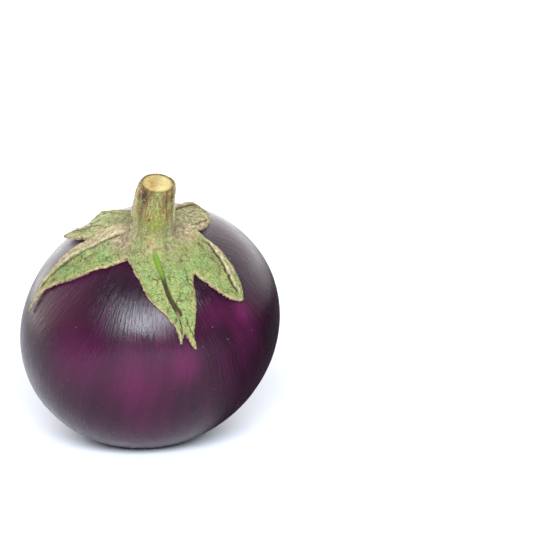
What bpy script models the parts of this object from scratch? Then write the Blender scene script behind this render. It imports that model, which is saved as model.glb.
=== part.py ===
"""Round purple eggplant, resting on its own small flat spot.

The fruit is one solid: an ellipsoid with three unlike axes, leaning a little, flattened
where it rests. The calyx is one solid star of pointed lobes that hugs the shoulder of the
fruit, and the stem is one solid stalk with a flared foot and a slanted cut end.

Units are metres and degrees. The origin is the centre of the flat spot, +Z is up, and the
stem leans towards -Y.
"""

import math
from dataclasses import dataclass

import bmesh
import bpy
from mathutils import Matrix, Vector

# Fruit
FRUIT_LENGTH = 0.0904  # longest axis of the body
FRUIT_BREADTH = 0.0840  # middle axis
FRUIT_HEIGHT = 0.0768  # shortest axis, through the shoulder
FRUIT_TURN = 48.6  # turn of the long axis about the short one
FRUIT_TILT = 20.0  # lean of the short axis towards -Y
FRUIT_LEAN = 12.0  # lean of the short axis towards -X
FLAT_DEPTH = 0.0012  # how much of the skin the resting spot takes away

# Where the stem grows from the fruit, seen from the fruit's centre
CROWN_TILT = 32.0  # towards -Y
CROWN_LEAN = 3.6  # towards +X

# Calyx
CALYX_THICKNESS = 0.0016
CALYX_SPREAD = 1.0  # scale of every lobe's reach over the fruit

# Stem
STEM_LENGTH = 0.0213  # from the calyx to the middle of the cut end
STEM_RADIUS_LOW = 0.0066
STEM_RADIUS_TOP = 0.0053
STEM_FLARE = 0.0031  # extra radius at the foot
STEM_FLARE_LENGTH = 0.0034  # the flare falls away over about this length
STEM_TILT = 30.0  # towards -Y
STEM_LEAN = 5.8  # towards +X
STEM_CUT_SLANT = 5.0  # between the cut end's normal and the stem's axis, back towards +Z

GAP = 0.0003  # clearance between neighbouring pieces

# Fineness of the meshes
FRUIT_SEGMENTS = 72
FRUIT_RINGS = 36
CALYX_SEGMENTS = 90
CALYX_RINGS = 45
STEM_BEVEL_RESOLUTION = 14
STEM_STATIONS = 16
LOBE_SIDE_POINTS = 6


@dataclass(frozen=True)
class Lobe:
    """A pointed lobe of the calyx, in degrees as seen from the fruit's centre.

    Azimuth runs from -Y towards +X about the crown, and reach is the angle from the crown.
    Each belly is how far a side bows outwards, as a share of the side's length.
    """

    tip_azimuth: float
    tip_reach: float
    belly_before: float
    belly_after: float
    notch_azimuth: float  # notch between this lobe's tip and the next one
    notch_reach: float


LOBES = (
    Lobe(20.0, 54.0, 0.09, 0.00, 22.5, 49.0),  # front, first point of its forked tip
    Lobe(26.0, 57.0, 0.00, 0.05, 48.0, 27.0),  # front, second point
    Lobe(65.0, 50.0, 0.03, 0.10, 115.0, 22.0),  # right front
    Lobe(153.0, 47.0, 0.16, 0.05, 170.0, 26.0),  # right back
    Lobe(187.0, 50.0, 0.06, 0.08, 205.0, 27.0),  # back
    Lobe(218.0, 46.0, 0.08, 0.05, 239.0, 34.0),  # left back, upper point
    Lobe(249.0, 50.0, 0.05, 0.06, 262.0, 29.0),  # left back, lower point
    Lobe(287.0, 68.0, 0.05, 0.02, 324.0, 18.0),  # left front, the longest
)
LOBE_TIP_HALF_WIDTH = 0.9  # degrees, so that no tip ends in a needle

# Colours, roughness
SKIN = ((0.085, 0.022, 0.062, 1.0), 0.25)
CALYX_GREEN = ((0.27, 0.33, 0.11, 1.0), 0.75)
STALK_GREEN = ((0.33, 0.34, 0.12, 1.0), 0.7)


# Frames and directions


def fruit_turn():
    """Rotation from the fruit's own axes to the world's."""
    lean = Matrix.Rotation(math.radians(-FRUIT_LEAN), 3, "Y")
    tilt = Matrix.Rotation(math.radians(FRUIT_TILT), 3, "X")
    turn = Matrix.Rotation(math.radians(FRUIT_TURN), 3, "Z")
    return lean @ tilt @ turn


def fruit_matrix(grow=0.0):
    """Map of a unit sphere onto the fruit's ellipsoid, grown outwards all round."""
    half_axes = [side / 2 + grow for side in (FRUIT_LENGTH, FRUIT_BREADTH, FRUIT_HEIGHT)]
    return fruit_turn() @ Matrix.Diagonal(Vector(half_axes))


def fruit_centre():
    """Centre of the fruit, when the flat spot's centre is the origin."""
    shape = fruit_matrix()
    spread = shape @ shape.transposed()
    down = Vector((0.0, 0.0, -1.0))
    height = math.sqrt(down.dot(spread @ down))
    lowest = (spread @ down) / height
    return -(1.0 - FLAT_DEPTH / height) * lowest


def leaning(tilt, lean):
    """Rotation that leans +Z by tilt towards -Y and by lean towards +X, both in degrees."""
    sideways = Matrix.Rotation(math.radians(lean), 3, "Y")
    return sideways @ Matrix.Rotation(math.radians(tilt), 3, "X")


def crown_direction():
    return leaning(CROWN_TILT, CROWN_LEAN) @ Vector((0.0, 0.0, 1.0))


def crown_point(grow):
    """Point above the fruit's centre where the crown's direction leaves the grown fruit."""
    direction = crown_direction()
    return direction / (fruit_matrix(grow).inverted() @ direction).length


# Building blocks


def new_material(name, colour, roughness):
    material = bpy.data.materials.new(name)
    material.use_nodes = True
    shader = material.node_tree.nodes["Principled BSDF"]
    shader.inputs["Base Color"].default_value = colour
    shader.inputs["Roughness"].default_value = roughness
    shader.inputs["Metallic"].default_value = 0.0
    return material


def new_collection(name):
    collection = bpy.data.collections.new(name)
    bpy.context.scene.collection.children.link(collection)
    return collection


def add_mesh_object(name, mesh, collection, parent, location):
    body = bpy.data.objects.new(name, mesh)
    collection.objects.link(body)
    body.parent = parent
    body.location = location
    return body


def make_cutter(body):
    body.hide_render = True
    body.display_type = "WIRE"
    return body


def ellipsoid_mesh(name, grow, segments, rings):
    """Ellipsoid of the fruit, grown, with the poles of its mesh on the crown's line."""
    shape = fruit_matrix(grow)
    pole = shape.inverted() @ crown_direction()
    to_crown = Vector((0.0, 0.0, 1.0)).rotation_difference(pole).to_matrix()
    mesh = bpy.data.meshes.new(name)
    builder = bmesh.new()
    bmesh.ops.create_uvsphere(
        builder,
        u_segments=segments,
        v_segments=rings,
        radius=1.0,
        matrix=(shape @ to_crown).to_4x4(),
    )
    builder.to_mesh(mesh)
    builder.free()
    mesh.shade_smooth()
    return mesh


def mesh_from_curve(curve_object):
    """Closed mesh of a curve object, with its loose caps welded."""
    bpy.context.view_layer.update()
    evaluated = curve_object.evaluated_get(bpy.context.evaluated_depsgraph_get())
    mesh = bpy.data.meshes.new_from_object(evaluated)
    builder = bmesh.new()
    builder.from_mesh(mesh)
    bmesh.ops.remove_doubles(builder, verts=builder.verts, dist=1e-6)
    builder.to_mesh(mesh)
    builder.free()
    bpy.data.objects.remove(curve_object)
    return mesh


def cut(body, cutter, operation="DIFFERENCE"):
    modifier = body.modifiers.new(operation.title() + " " + cutter.name, "BOOLEAN")
    modifier.object = cutter
    modifier.operation = operation
    modifier.solver = "EXACT"


# Fruit


def build_fruit(parts, cutters, root):
    mesh = ellipsoid_mesh("fruit", 0.0, FRUIT_SEGMENTS, FRUIT_RINGS)
    fruit = add_mesh_object("fruit", mesh, parts, root, fruit_centre())
    fruit.data.materials.append(new_material("purple skin", *SKIN))

    side = 2 * max(FRUIT_LENGTH, FRUIT_BREADTH)
    block = bpy.data.meshes.new("resting plane")
    builder = bmesh.new()
    bmesh.ops.create_cube(builder, size=side)
    builder.to_mesh(block)
    builder.free()
    floor = add_mesh_object("resting_plane", block, cutters, root, (0.0, 0.0, -side / 2))
    cut(fruit, make_cutter(floor))
    return fruit


# Calyx


def on_map(azimuth, reach):
    """Point of a flat map of the calyx: distance from the middle is the reach, in degrees."""
    angle = math.radians(azimuth)
    return Vector((reach * math.sin(angle), -reach * math.cos(angle)))


def lobe_side(start, end, belly):
    """Points from start up to, not including, end, on a curve that bows out by belly."""
    along = end - start
    outwards = Vector((along.y, -along.x))
    control = (start + end) / 2 + 2 * belly * outwards
    points = []
    for step in range(LOBE_SIDE_POINTS):
        t = step / LOBE_SIDE_POINTS
        points.append((1 - t) ** 2 * start + 2 * t * (1 - t) * control + t**2 * end)
    return points


def star_map():
    """Outline of the whole calyx on the flat map, anticlockwise about the crown."""
    outline = []
    for before, lobe in zip(LOBES[-1:] + LOBES[:-1], LOBES):
        notch_before = on_map(before.notch_azimuth, before.notch_reach)
        notch_after = on_map(lobe.notch_azimuth, lobe.notch_reach)
        tip = on_map(lobe.tip_azimuth, lobe.tip_reach)
        sideways = LOBE_TIP_HALF_WIDTH * Vector((-tip.y, tip.x)).normalized()
        outline += lobe_side(notch_before, tip - sideways, lobe.belly_before)
        outline.append(tip - sideways)
        outline += lobe_side(tip + sideways, notch_after, lobe.belly_after)
    return outline


def star_cutter(cutters, root):
    """Star-shaped wedge whose sides all run towards the fruit's centre."""
    low = min(FRUIT_LENGTH, FRUIT_BREADTH, FRUIT_HEIGHT) / 8
    high = max(FRUIT_LENGTH, FRUIT_BREADTH, FRUIT_HEIGHT)
    curve = bpy.data.curves.new("calyx outline", "CURVE")
    curve.dimensions = "2D"
    curve.fill_mode = "BOTH"
    curve.extrude = (high - low) / 2
    outline = star_map()
    spline = curve.splines.new("POLY")
    spline.points.add(len(outline) - 1)
    spline.use_cyclic_u = True
    for point, place in zip(spline.points, outline):
        reach = math.radians(place.length * CALYX_SPREAD)
        flat = place.normalized() * low * math.tan(reach)
        point.co = (flat.x, flat.y, 0.0, 1.0)
    outline_object = bpy.data.objects.new("calyx outline", curve)
    cutters.objects.link(outline_object)
    mesh = mesh_from_curve(outline_object)
    for vertex in mesh.vertices:
        vertex.co.z += (high + low) / 2
        vertex.co.xy *= vertex.co.z / low
    star = add_mesh_object("calyx_star", mesh, cutters, root, fruit_centre())
    star.rotation_euler = leaning(CROWN_TILT, CROWN_LEAN).to_euler()
    return make_cutter(star)


def build_calyx(parts, cutters, root):
    outer = ellipsoid_mesh("calyx", GAP + CALYX_THICKNESS, CALYX_SEGMENTS, CALYX_RINGS)
    calyx = add_mesh_object("calyx", outer, parts, root, fruit_centre())
    calyx.data.materials.append(new_material("calyx green", *CALYX_GREEN))

    inner = ellipsoid_mesh("calyx underside", GAP, CALYX_SEGMENTS, CALYX_RINGS)
    underside = add_mesh_object("calyx_underside", inner, cutters, root, fruit_centre())
    cut(calyx, make_cutter(underside))
    cut(calyx, star_cutter(cutters, root), "INTERSECT")
    return calyx


# Stem


def stem_radius(along):
    """Radius at a distance up the stem: a slow taper plus a flare that dies away."""
    share = min(max(along / STEM_LENGTH, 0.0), 1.0)
    taper = STEM_RADIUS_LOW + share * (STEM_RADIUS_TOP - STEM_RADIUS_LOW)
    return taper + STEM_FLARE * math.exp(-max(along, 0.0) / STEM_FLARE_LENGTH)


def stem_mesh():
    """Stalk along +Z with its foot's middle at the origin, too long at both ends."""
    sunk = -(STEM_RADIUS_LOW + STEM_FLARE) / 2
    top = STEM_LENGTH + STEM_RADIUS_TOP
    curve = bpy.data.curves.new("stem", "CURVE")
    curve.dimensions = "3D"
    curve.bevel_depth = STEM_RADIUS_LOW
    curve.bevel_resolution = STEM_BEVEL_RESOLUTION
    curve.use_fill_caps = True
    spline = curve.splines.new("POLY")
    spline.points.add(STEM_STATIONS - 1)
    for index, point in enumerate(spline.points):
        height = sunk + (top - sunk) * index / (STEM_STATIONS - 1)
        point.co = (0.0, 0.0, height, 1.0)
        point.radius = stem_radius(height) / STEM_RADIUS_LOW
    stalk = bpy.data.objects.new("stem curve", curve)
    bpy.context.scene.collection.objects.link(stalk)
    mesh = mesh_from_curve(stalk)
    mesh.shade_smooth()
    return mesh


def cut_end_block(cutters, root, foot, turn):
    """Block whose lower face is the slanted cut end of the stem."""
    side = 4 * (STEM_LENGTH + STEM_RADIUS_LOW)
    mesh = bpy.data.meshes.new("stem cut")
    builder = bmesh.new()
    lift = Matrix.Translation((0.0, 0.0, side / 2))
    bmesh.ops.create_cube(builder, size=side, matrix=lift)
    builder.to_mesh(mesh)
    builder.free()
    middle = foot + turn @ Vector((0.0, 0.0, STEM_LENGTH))
    block = add_mesh_object("stem_cut", mesh, cutters, root, middle)
    slant = Matrix.Rotation(math.radians(-STEM_CUT_SLANT), 3, "X")
    block.rotation_euler = (turn @ slant).to_euler()
    return make_cutter(block)


def build_stem(parts, cutters, root):
    seat_height = GAP + CALYX_THICKNESS + GAP
    foot = fruit_centre() + crown_point(seat_height)
    turn = leaning(STEM_TILT, STEM_LEAN)
    stem = add_mesh_object("stem", stem_mesh(), parts, root, foot)
    stem.rotation_euler = turn.to_euler()
    stem.data.materials.append(new_material("stalk green", *STALK_GREEN))

    seat_mesh = ellipsoid_mesh("stem seat", seat_height, CALYX_SEGMENTS, CALYX_RINGS)
    seat = add_mesh_object("stem_seat", seat_mesh, cutters, root, fruit_centre())
    cut(stem, make_cutter(seat))
    cut(stem, cut_end_block(cutters, root, foot, turn))
    return stem


def clear_scene():
    for body in list(bpy.data.objects):
        bpy.data.objects.remove(body)


def main():
    clear_scene()
    parts = new_collection("eggplant")
    cutters = new_collection("cutters")
    root = bpy.data.objects.new("rest_spot", None)
    root.empty_display_size = FLAT_DEPTH * 10
    parts.objects.link(root)
    build_fruit(parts, cutters, root)
    build_calyx(parts, cutters, root)
    build_stem(parts, cutters, root)


main()
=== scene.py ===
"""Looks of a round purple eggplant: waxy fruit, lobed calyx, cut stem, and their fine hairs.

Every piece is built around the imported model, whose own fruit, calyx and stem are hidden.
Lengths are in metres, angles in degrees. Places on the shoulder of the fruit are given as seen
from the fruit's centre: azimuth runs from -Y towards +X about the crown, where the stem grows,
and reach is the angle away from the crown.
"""

import logging
import math
from dataclasses import dataclass, field
from enum import Enum
from functools import cache

import bpy
import numpy as np
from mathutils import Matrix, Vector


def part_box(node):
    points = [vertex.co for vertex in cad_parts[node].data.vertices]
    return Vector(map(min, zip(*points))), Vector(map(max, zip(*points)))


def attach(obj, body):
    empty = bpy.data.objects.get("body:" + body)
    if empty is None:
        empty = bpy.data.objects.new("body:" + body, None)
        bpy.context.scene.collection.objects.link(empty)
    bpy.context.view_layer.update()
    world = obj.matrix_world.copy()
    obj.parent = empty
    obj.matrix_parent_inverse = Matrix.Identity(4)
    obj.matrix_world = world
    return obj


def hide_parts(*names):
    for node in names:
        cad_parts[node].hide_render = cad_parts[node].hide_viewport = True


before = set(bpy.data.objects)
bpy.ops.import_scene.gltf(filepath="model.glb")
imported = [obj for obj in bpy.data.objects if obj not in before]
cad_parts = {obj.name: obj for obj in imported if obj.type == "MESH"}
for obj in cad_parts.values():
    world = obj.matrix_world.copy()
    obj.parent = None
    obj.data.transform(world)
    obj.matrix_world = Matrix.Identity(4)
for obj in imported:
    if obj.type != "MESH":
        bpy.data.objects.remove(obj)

LOG = logging.getLogger("eggplant")
Array = np.ndarray
Socket = bpy.types.NodeSocket
Colour = Socket | tuple[float, float, float, float]
MM = 0.001
WELD = 1e-7  # points that share a cube of this side are one


# Numbers and shapes


class Axis(Enum):
    """Axes of the world, by their number."""

    X = 0
    Y = 1
    Z = 2


def linear(colour: str) -> tuple[float, float, float, float]:
    """Turns an sRGB colour into linear light.

    A share s becomes ((s + 0.055) / 1.055)^2.4, or s / 12.92 where it is at most 0.04045.

    Args:
        colour: hex colour, such as "#60355a".

    Returns:
        Linear red, green and blue, and an alpha of 1.
    """
    shares = [int(colour[i : i + 2], 16) / 255 for i in (1, 3, 5)]
    bent = [s / 12.92 if s <= 0.04045 else ((s + 0.055) / 1.055) ** 2.4 for s in shares]
    return (bent[0], bent[1], bent[2], 1.0)


def ease(low: float, high: float, value: Array) -> Array:
    """Smooth step: 0 below low, 1 above high, and 3t^2 - 2t^3 in between."""
    t = np.clip((value - low) / (high - low), 0.0, 1.0)
    return t * t * (3 - 2 * t)


def bell(value: Array, middle: float, width: float) -> Array:
    """Bump of height 1 at the middle: exp(-((value - middle) / width)^2)."""
    return np.exp(-(((value - middle) / width) ** 2))


def turned(axis: Axis, angle: float) -> Array:
    """Rotation about a world axis: the plane of the next two axes turns by the angle.

    Args:
        axis: the axis.
        angle: in degrees, by the right-hand rule.

    Returns:
        The 3 by 3 matrix.
    """
    c, s = math.cos(math.radians(angle)), math.sin(math.radians(angle))
    first, second = (axis.value + 1) % 3, (axis.value + 2) % 3
    matrix = np.eye(3)
    matrix[[first, second], [first, second]] = c
    matrix[first, second], matrix[second, first] = -s, s
    return matrix


def leaning(tilt: float, lean: float) -> Array:
    """Rotation that leans +Z by tilt towards -Y, then by lean towards +X."""
    return turned(Axis.Y, lean) @ turned(Axis.X, tilt)


def unit(vectors: Array) -> Array:
    """Vectors scaled to length 1."""
    return vectors / np.linalg.norm(vectors, axis=-1, keepdims=True)


def on_map(azimuth: Array, reach: Array) -> Array:
    """Flat map of the shoulder: distance from the middle is the reach, in degrees."""
    angle = np.radians(azimuth)
    return np.stack([reach * np.sin(angle), -reach * np.cos(angle)], axis=-1)


def smooth_path(knots: Array, count: int) -> Array:
    """Evenly spaced points on a cubic through all the knots.

    Each span is a Hermite cubic over chord length, whose slope at a knot is the chord from
    the knot before to the knot after.

    Args:
        knots: points, one a row.
        count: how many points to return, both ends included.

    Returns:
        The points, one a row.
    """
    chords = np.linalg.norm(np.diff(knots, axis=0), axis=1)
    at = np.concatenate([[0.0], np.cumsum(chords)])
    slopes = np.gradient(knots, at, axis=0, edge_order=1)
    where = np.linspace(0.0, at[-1], count)
    span = np.clip(np.searchsorted(at, where, side="right") - 1, 0, len(at) - 2)
    width = (at[span + 1] - at[span])[:, None]
    t = ((where - at[span]) / width[:, 0])[:, None]
    return (
        (2 * t**3 - 3 * t**2 + 1) * knots[span]
        + (t**3 - 2 * t**2 + t) * width * slopes[span]
        + (3 * t**2 - 2 * t**3) * knots[span + 1]
        + (t**3 - t**2) * width * slopes[span + 1]
    )


@dataclass(frozen=True)
class Ripples:
    """Smooth random relief: a sum of cosine waves with random directions and phases."""

    wavelength: float
    seed: int
    waves: int = 28
    spread: tuple[float, float] = (0.7, 1.45)  # of the waves' lengths, as shares of the usual one

    def at(self, places: Array) -> Array:
        """Value near -1 to 1 at each place: sqrt(1 / n) times the sum of the n cosines.

        Args:
            places: coordinates in the last axis, in the wavelength's unit.

        Returns:
            One value for each place.
        """
        rng = np.random.default_rng(self.seed)
        headings = unit(rng.normal(size=(self.waves, places.shape[-1]))).T
        lengths = self.wavelength * rng.uniform(*self.spread, self.waves)
        phases = rng.uniform(0.0, 2 * math.pi, self.waves)
        turns = places @ (2 * math.pi * headings / lengths) + phases
        return np.cos(turns).sum(axis=-1) / math.sqrt(self.waves)


@dataclass(frozen=True)
class Patch:
    """Soft round patch on the shoulder's flat map, all in degrees."""

    azimuth: float
    reach: float
    radius: float
    strength: float

    def at(self, places: Array) -> Array:
        """Strength of the patch: a bell of the distance on the map from its middle.

        Args:
            places: points on the map.

        Returns:
            One value for each point.
        """
        middle = on_map(np.array(self.azimuth), np.array(self.reach))
        distance = np.linalg.norm(places - middle, axis=-1)
        return self.strength * bell(distance, 0.0, self.radius)


def patched(patches: tuple[Patch, ...], places: Array) -> Array:
    """Sum of the patches at each place on the map."""
    return sum(patch.at(places) for patch in patches)


@dataclass
class Surface:
    """Points and faces, with the attributes that their material reads."""

    points: Array
    faces: Array
    masks: dict[str, Array] = field(default_factory=dict)

    def welded(self) -> "Surface":
        """Makes one point of those that round to the same place.

        Returns:
            The same surface without its doubles.
        """
        keys = np.round(self.points / WELD).astype(np.int64)
        _, first, back = np.unique(keys, axis=0, return_index=True, return_inverse=True)
        faces = back.reshape(-1)[self.faces]
        masks = {name: values[first] for name, values in self.masks.items()}
        return Surface(self.points[first], faces, masks)

    def piece(self, name: str, material: bpy.types.Material) -> bpy.types.Object:
        """Makes the surface a smooth-shaded object at the origin.

        A corner that repeats the one before it is dropped, so a quad at a pole becomes a
        triangle, and a face with fewer than three corners goes.

        Args:
            name: the piece's name.
            material: what it is made of.

        Returns:
            The new object.
        """
        corners = self.faces
        if corners.shape[1] == 4:
            open_quads = (corners[:, 0] != corners[:, 2]) & (corners[:, 1] != corners[:, 3])
            corners = corners[open_quads]
        same = corners == np.roll(corners, 1, axis=1)
        sizes = corners.shape[1] - same.sum(axis=1)
        whole = sizes > 2
        sizes = sizes[whole]
        loops = corners[whole][~same[whole]]
        mesh = bpy.data.meshes.new(name)
        mesh.vertices.add(len(self.points))
        mesh.vertices.foreach_set("co", self.points.astype(np.float32).ravel())
        mesh.loops.add(len(loops))
        mesh.loops.foreach_set("vertex_index", loops.astype(np.int32))
        mesh.polygons.add(len(sizes))
        starts = np.concatenate([[0], np.cumsum(sizes)[:-1]])
        mesh.polygons.foreach_set("loop_start", starts.astype(np.int32))
        mesh.update(calc_edges=True)
        mesh.validate()
        mesh.shade_smooth()
        for mask, values in self.masks.items():
            kind = "FLOAT" if values.ndim == 1 else "FLOAT_VECTOR"
            attribute = mesh.attributes.new(mask, kind, "POINT")
            slot = "value" if kind == "FLOAT" else "vector"
            attribute.data.foreach_set(slot, values.astype(np.float32).ravel())
        body = bpy.data.objects.new(name, mesh)
        bpy.context.scene.collection.objects.link(body)
        mesh.materials.append(material)
        return body


def grid_faces(rows: int, columns: int, ring: bool = False) -> Array:
    """Corner numbers of the quads of a grid whose points are stored row after row.

    Args:
        rows: how many rows of points.
        columns: how many points in a row.
        ring: whether each row's last point joins its first.

    Returns:
        One row of four corners for each quad.
    """
    row, column = np.meshgrid(
        np.arange(rows - 1), np.arange(columns if ring else columns - 1), indexing="ij"
    )
    here = row * columns + column
    beside = row * columns + (column + 1) % columns
    return np.stack([here, beside, beside + columns, here + columns], axis=-1).reshape(-1, 4)


def joined(surfaces: list[Surface]) -> Surface:
    """Puts several surfaces together as one.

    Args:
        surfaces: which all have the same masks.

    Returns:
        The one surface.
    """
    starts = np.cumsum([0] + [len(s.points) for s in surfaces[:-1]])
    faces = [s.faces + start for s, start in zip(surfaces, starts)]
    masks = {k: np.concatenate([s.masks[k] for s in surfaces]) for k in surfaces[0].masks}
    points = np.concatenate([s.points for s in surfaces])
    return Surface(points, np.concatenate(faces), masks)


# Materials

SPECKLE_STEP = (0.037, 0.011, 0.0)  # from one speckle's part of the noise to the next one's
GRAIN_ROUGHNESS = 0.6  # share of each finer layer of a grain's noise
NOISE_SPREAD = 0.28  # range that a noise's levels take from cover 0 to cover 1


def node(
    tree: bpy.types.NodeTree, kind: str, links: dict | None = None, **settings: object
) -> bpy.types.ShaderNode:
    """Adds a shader node with its settings and its inputs.

    Args:
        tree: the node tree.
        kind: the node's type, without the words ShaderNode in front.
        links: input name or number to a value, to another node or to one of its outputs.
        settings: properties of the node itself.

    Returns:
        The new node.
    """
    made = tree.nodes.new("ShaderNode" + kind)
    for name, value in settings.items():
        setattr(made, name, value)
    for name, value in (links or {}).items():
        if isinstance(value, bpy.types.Node):
            value = value.outputs[0]
        if isinstance(value, bpy.types.NodeSocket):
            tree.links.new(value, made.inputs[name])
        else:
            made.inputs[name].default_value = value
    return made


def clean_material(name: str) -> tuple[bpy.types.Material, bpy.types.NodeTree]:
    """Makes a new node material with nothing in its tree.

    Args:
        name: the material's name.

    Returns:
        The material and its tree.
    """
    material = bpy.data.materials.new(name)
    material.use_nodes = True
    material.node_tree.nodes.clear()
    return material, material.node_tree


@dataclass(frozen=True)
class Speckle:
    """Fine pattern of grains that a tint is broken up by."""

    grain: float  # size of one grain, in metres
    cover: float  # share of the surface that it covers, 0 to 1
    softness: float = 0.06  # width of a grain's edge, as a share of the pattern's range
    fibrous: bool = False  # drawn out along the piece's fibres

    def nodes(
        self, tree: bpy.types.NodeTree, place: Socket, shift: float = 0.0
    ) -> bpy.types.ShaderNode:
        """Noise cut at a level that leaves the wanted cover: 1 on a grain, 0 between.

        Args:
            tree: the node tree.
            place: output with the place in object space.
            shift: sets this pattern apart from others of the same grain.

        Returns:
            The last node.
        """
        if self.fibrous:
            place = node(tree, "Attribute", attribute_name="fibre").outputs["Vector"]
        offset = tuple(shift * step for step in SPECKLE_STEP)
        moved = node(tree, "VectorMath", {0: place, 1: offset})
        links = {"Vector": moved, "Scale": 0.5 / self.grain, "Detail": 2.0}
        links["Roughness"] = GRAIN_ROUGHNESS
        grains = node(tree, "TexNoise", links)
        middle = 0.5 + NOISE_SPREAD * (0.5 - self.cover)
        low, high = middle - self.softness, middle + self.softness
        return node(tree, "MapRange", {0: grains, 1: low, 2: high})


@dataclass(frozen=True)
class Tint:
    """One layer of colour over the ones below it."""

    colour: str
    strength: float
    mask: str | None = None  # the piece's own attribute that says where it lies
    speckle: Speckle | None = None

    def over(
        self,
        tree: bpy.types.NodeTree,
        below: Colour,
        place: Socket,
        shift: float = 0.0,
        pattern: bpy.types.ShaderNode | None = None,
    ) -> Socket:
        """Mixes the colour in by strength times mask times speckle times pattern.

        Args:
            tree: the node tree.
            below: colour, or output with the colour, of the layers below.
            place: output with the place in object space.
            shift: sets its speckle apart from other tints'.
            pattern: a node that also says where it lies.

        Returns:
            The output that holds the mixed colour.
        """
        factors = [pattern] if pattern else []
        if self.mask:
            factors.append(node(tree, "Attribute", attribute_name=self.mask).outputs["Fac"])
        if self.speckle:
            factors.append(self.speckle.nodes(tree, place, shift))
        amount = self.strength
        for factor in factors:
            links = {0: factor, 1: amount}
            amount = node(tree, "Math", links, operation="MULTIPLY", use_clamp=True)
        links = {"Factor": amount, 6: below, 7: linear(self.colour)}
        return node(tree, "Mix", links, data_type="RGBA").outputs[2]


def layered(
    tree: bpy.types.NodeTree,
    below: Colour,
    tints: tuple[Tint, ...],
    place: Socket,
    first: int = 0,
) -> Socket:
    """Lays tints one over another.

    Args:
        tree: the node tree.
        below: colour, or output with the colour, under them all.
        tints: the lowest first.
        place: output with the place in object space.
        first: number of the lowest tint's speckle.

    Returns:
        The output that holds the colour.
    """
    for order, tint in enumerate(tints, first):
        below = tint.over(tree, below, place, order)
    return below


def grained(
    tree: bpy.types.NodeTree,
    place: Socket,
    grain: float,
    depth: float,
    detail: float = 2.0,
    below: bpy.types.ShaderNode | None = None,
) -> bpy.types.ShaderNode:
    """Relief of random grains.

    Args:
        tree: the node tree.
        place: output with the place that the grains keep to.
        grain: size of one grain, in metres.
        depth: height of the full range of the relief, in metres.
        detail: how many finer layers of grains lie in it.
        below: node with the normal of coarser relief.

    Returns:
        The node that holds the normal.
    """
    links = {"Vector": place, "Scale": 0.5 / grain, "Detail": detail}
    links["Roughness"] = GRAIN_ROUGHNESS
    links = {"Height": node(tree, "TexNoise", links), "Strength": 1.0, "Distance": depth}
    if below is not None:
        links["Normal"] = below
    return node(tree, "Bump", links)


@dataclass(frozen=True)
class WaxySkin:
    """Eggplant skin: a thin waxed cuticle over purple cells.

    The cuticle gives a soft gloss. The cells stretch from crown to blossom end as the fruit
    swells, which cracks the wax into fine streaks that break up the highlight. Painted shade
    darkens patches and a band under the calyx, pink patches are partly the skin's own tone and
    partly painted sheen, and a brownish painted reflection lies on the left. Tiny pale lenticels
    dot it.
    """

    deep: str = "#230819"
    tints: tuple[Tint, ...] = (
        # pink patches: partly the skin's own tone, partly painted sheen
        Tint("#4f0f36", 0.83, "blush_and_sheen"),
        # painted shade: dark patches, and a band under the calyx
        Tint("#12060f", 0.85, "painted_shade"),
        # painted reflection: soft brownish light on the left side
        Tint("#3c2024", 0.7, "painted_reflection"),
        Tint("#6c4a35", 0.9, "scar", Speckle(0.7 * MM, 0.75)),
    )
    vivid: Tint = Tint("#581443", 0.14)
    lenticel: Tint = Tint("#9a7c90", 0.5)
    roughness: tuple[float, float] = (0.22, 0.35)
    ior: float = 1.4
    specular: float = 0.33  # the bloom of wax mutes the gloss
    streak_width: float = 0.42 * MM
    streak_depth: float = 0.17 * MM
    streak_detail: float = 3.0  # finer streaks in it
    vivid_levels: tuple[float, float] = (0.42, 0.75)  # of the noise, where it begins and is full
    pore_size: float = 1.1 * MM
    pore_depth: float = 0.012 * MM
    patch_size: float = 10.0 * MM  # of more and less glossy areas
    lenticel_spacing: float = 4.5 * MM
    lenticel_radius: float = 0.14 * MM

    def material(self) -> bpy.types.Material:
        """Builds the skin's node material.

        Returns:
            The material.
        """
        material, tree = clean_material("eggplant_skin_waxed")
        place = node(tree, "TexCoord").outputs["Object"]
        along = node(tree, "Attribute", attribute_name="meridian").outputs["Vector"]
        colour = layered(tree, linear(self.deep), self.tints, place)
        links = {"Vector": along, "Scale": 0.1 / self.streak_width}
        links["Detail"] = self.streak_detail
        low, high = self.vivid_levels
        broad = node(tree, "MapRange", {0: node(tree, "TexNoise", links), 1: low, 2: high})
        colour = self.vivid.over(tree, colour, place, pattern=broad)
        links = {"Vector": place, "Scale": 1.0 / self.lenticel_spacing}
        dots = node(tree, "TexVoronoi", links)
        radius = self.lenticel_radius / self.lenticel_spacing
        dot = node(tree, "MapRange", {0: dots, 1: radius, 2: 1.7 * radius, 3: 1.0, 4: 0.0})
        colour = self.lenticel.over(tree, colour, place, pattern=dot)
        links = {"Vector": place, "Scale": 1.0 / self.patch_size, "Detail": 2.0}
        patchy = node(tree, "TexNoise", links)
        low, high = self.roughness
        rough = node(tree, "MapRange", {0: patchy, 1: 0.3, 2: 0.7, 3: low, 4: high})
        relief = grained(tree, along, self.streak_width, self.streak_depth, self.streak_detail)
        relief = grained(tree, place, self.pore_size, self.pore_depth, below=relief)
        skin = {"Base Color": colour, "Roughness": rough, "IOR": self.ior, "Normal": relief}
        skin["Specular IOR Level"] = self.specular
        node(tree, "OutputMaterial", {"Surface": node(tree, "BsdfPrincipled", skin)})
        return material


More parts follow.
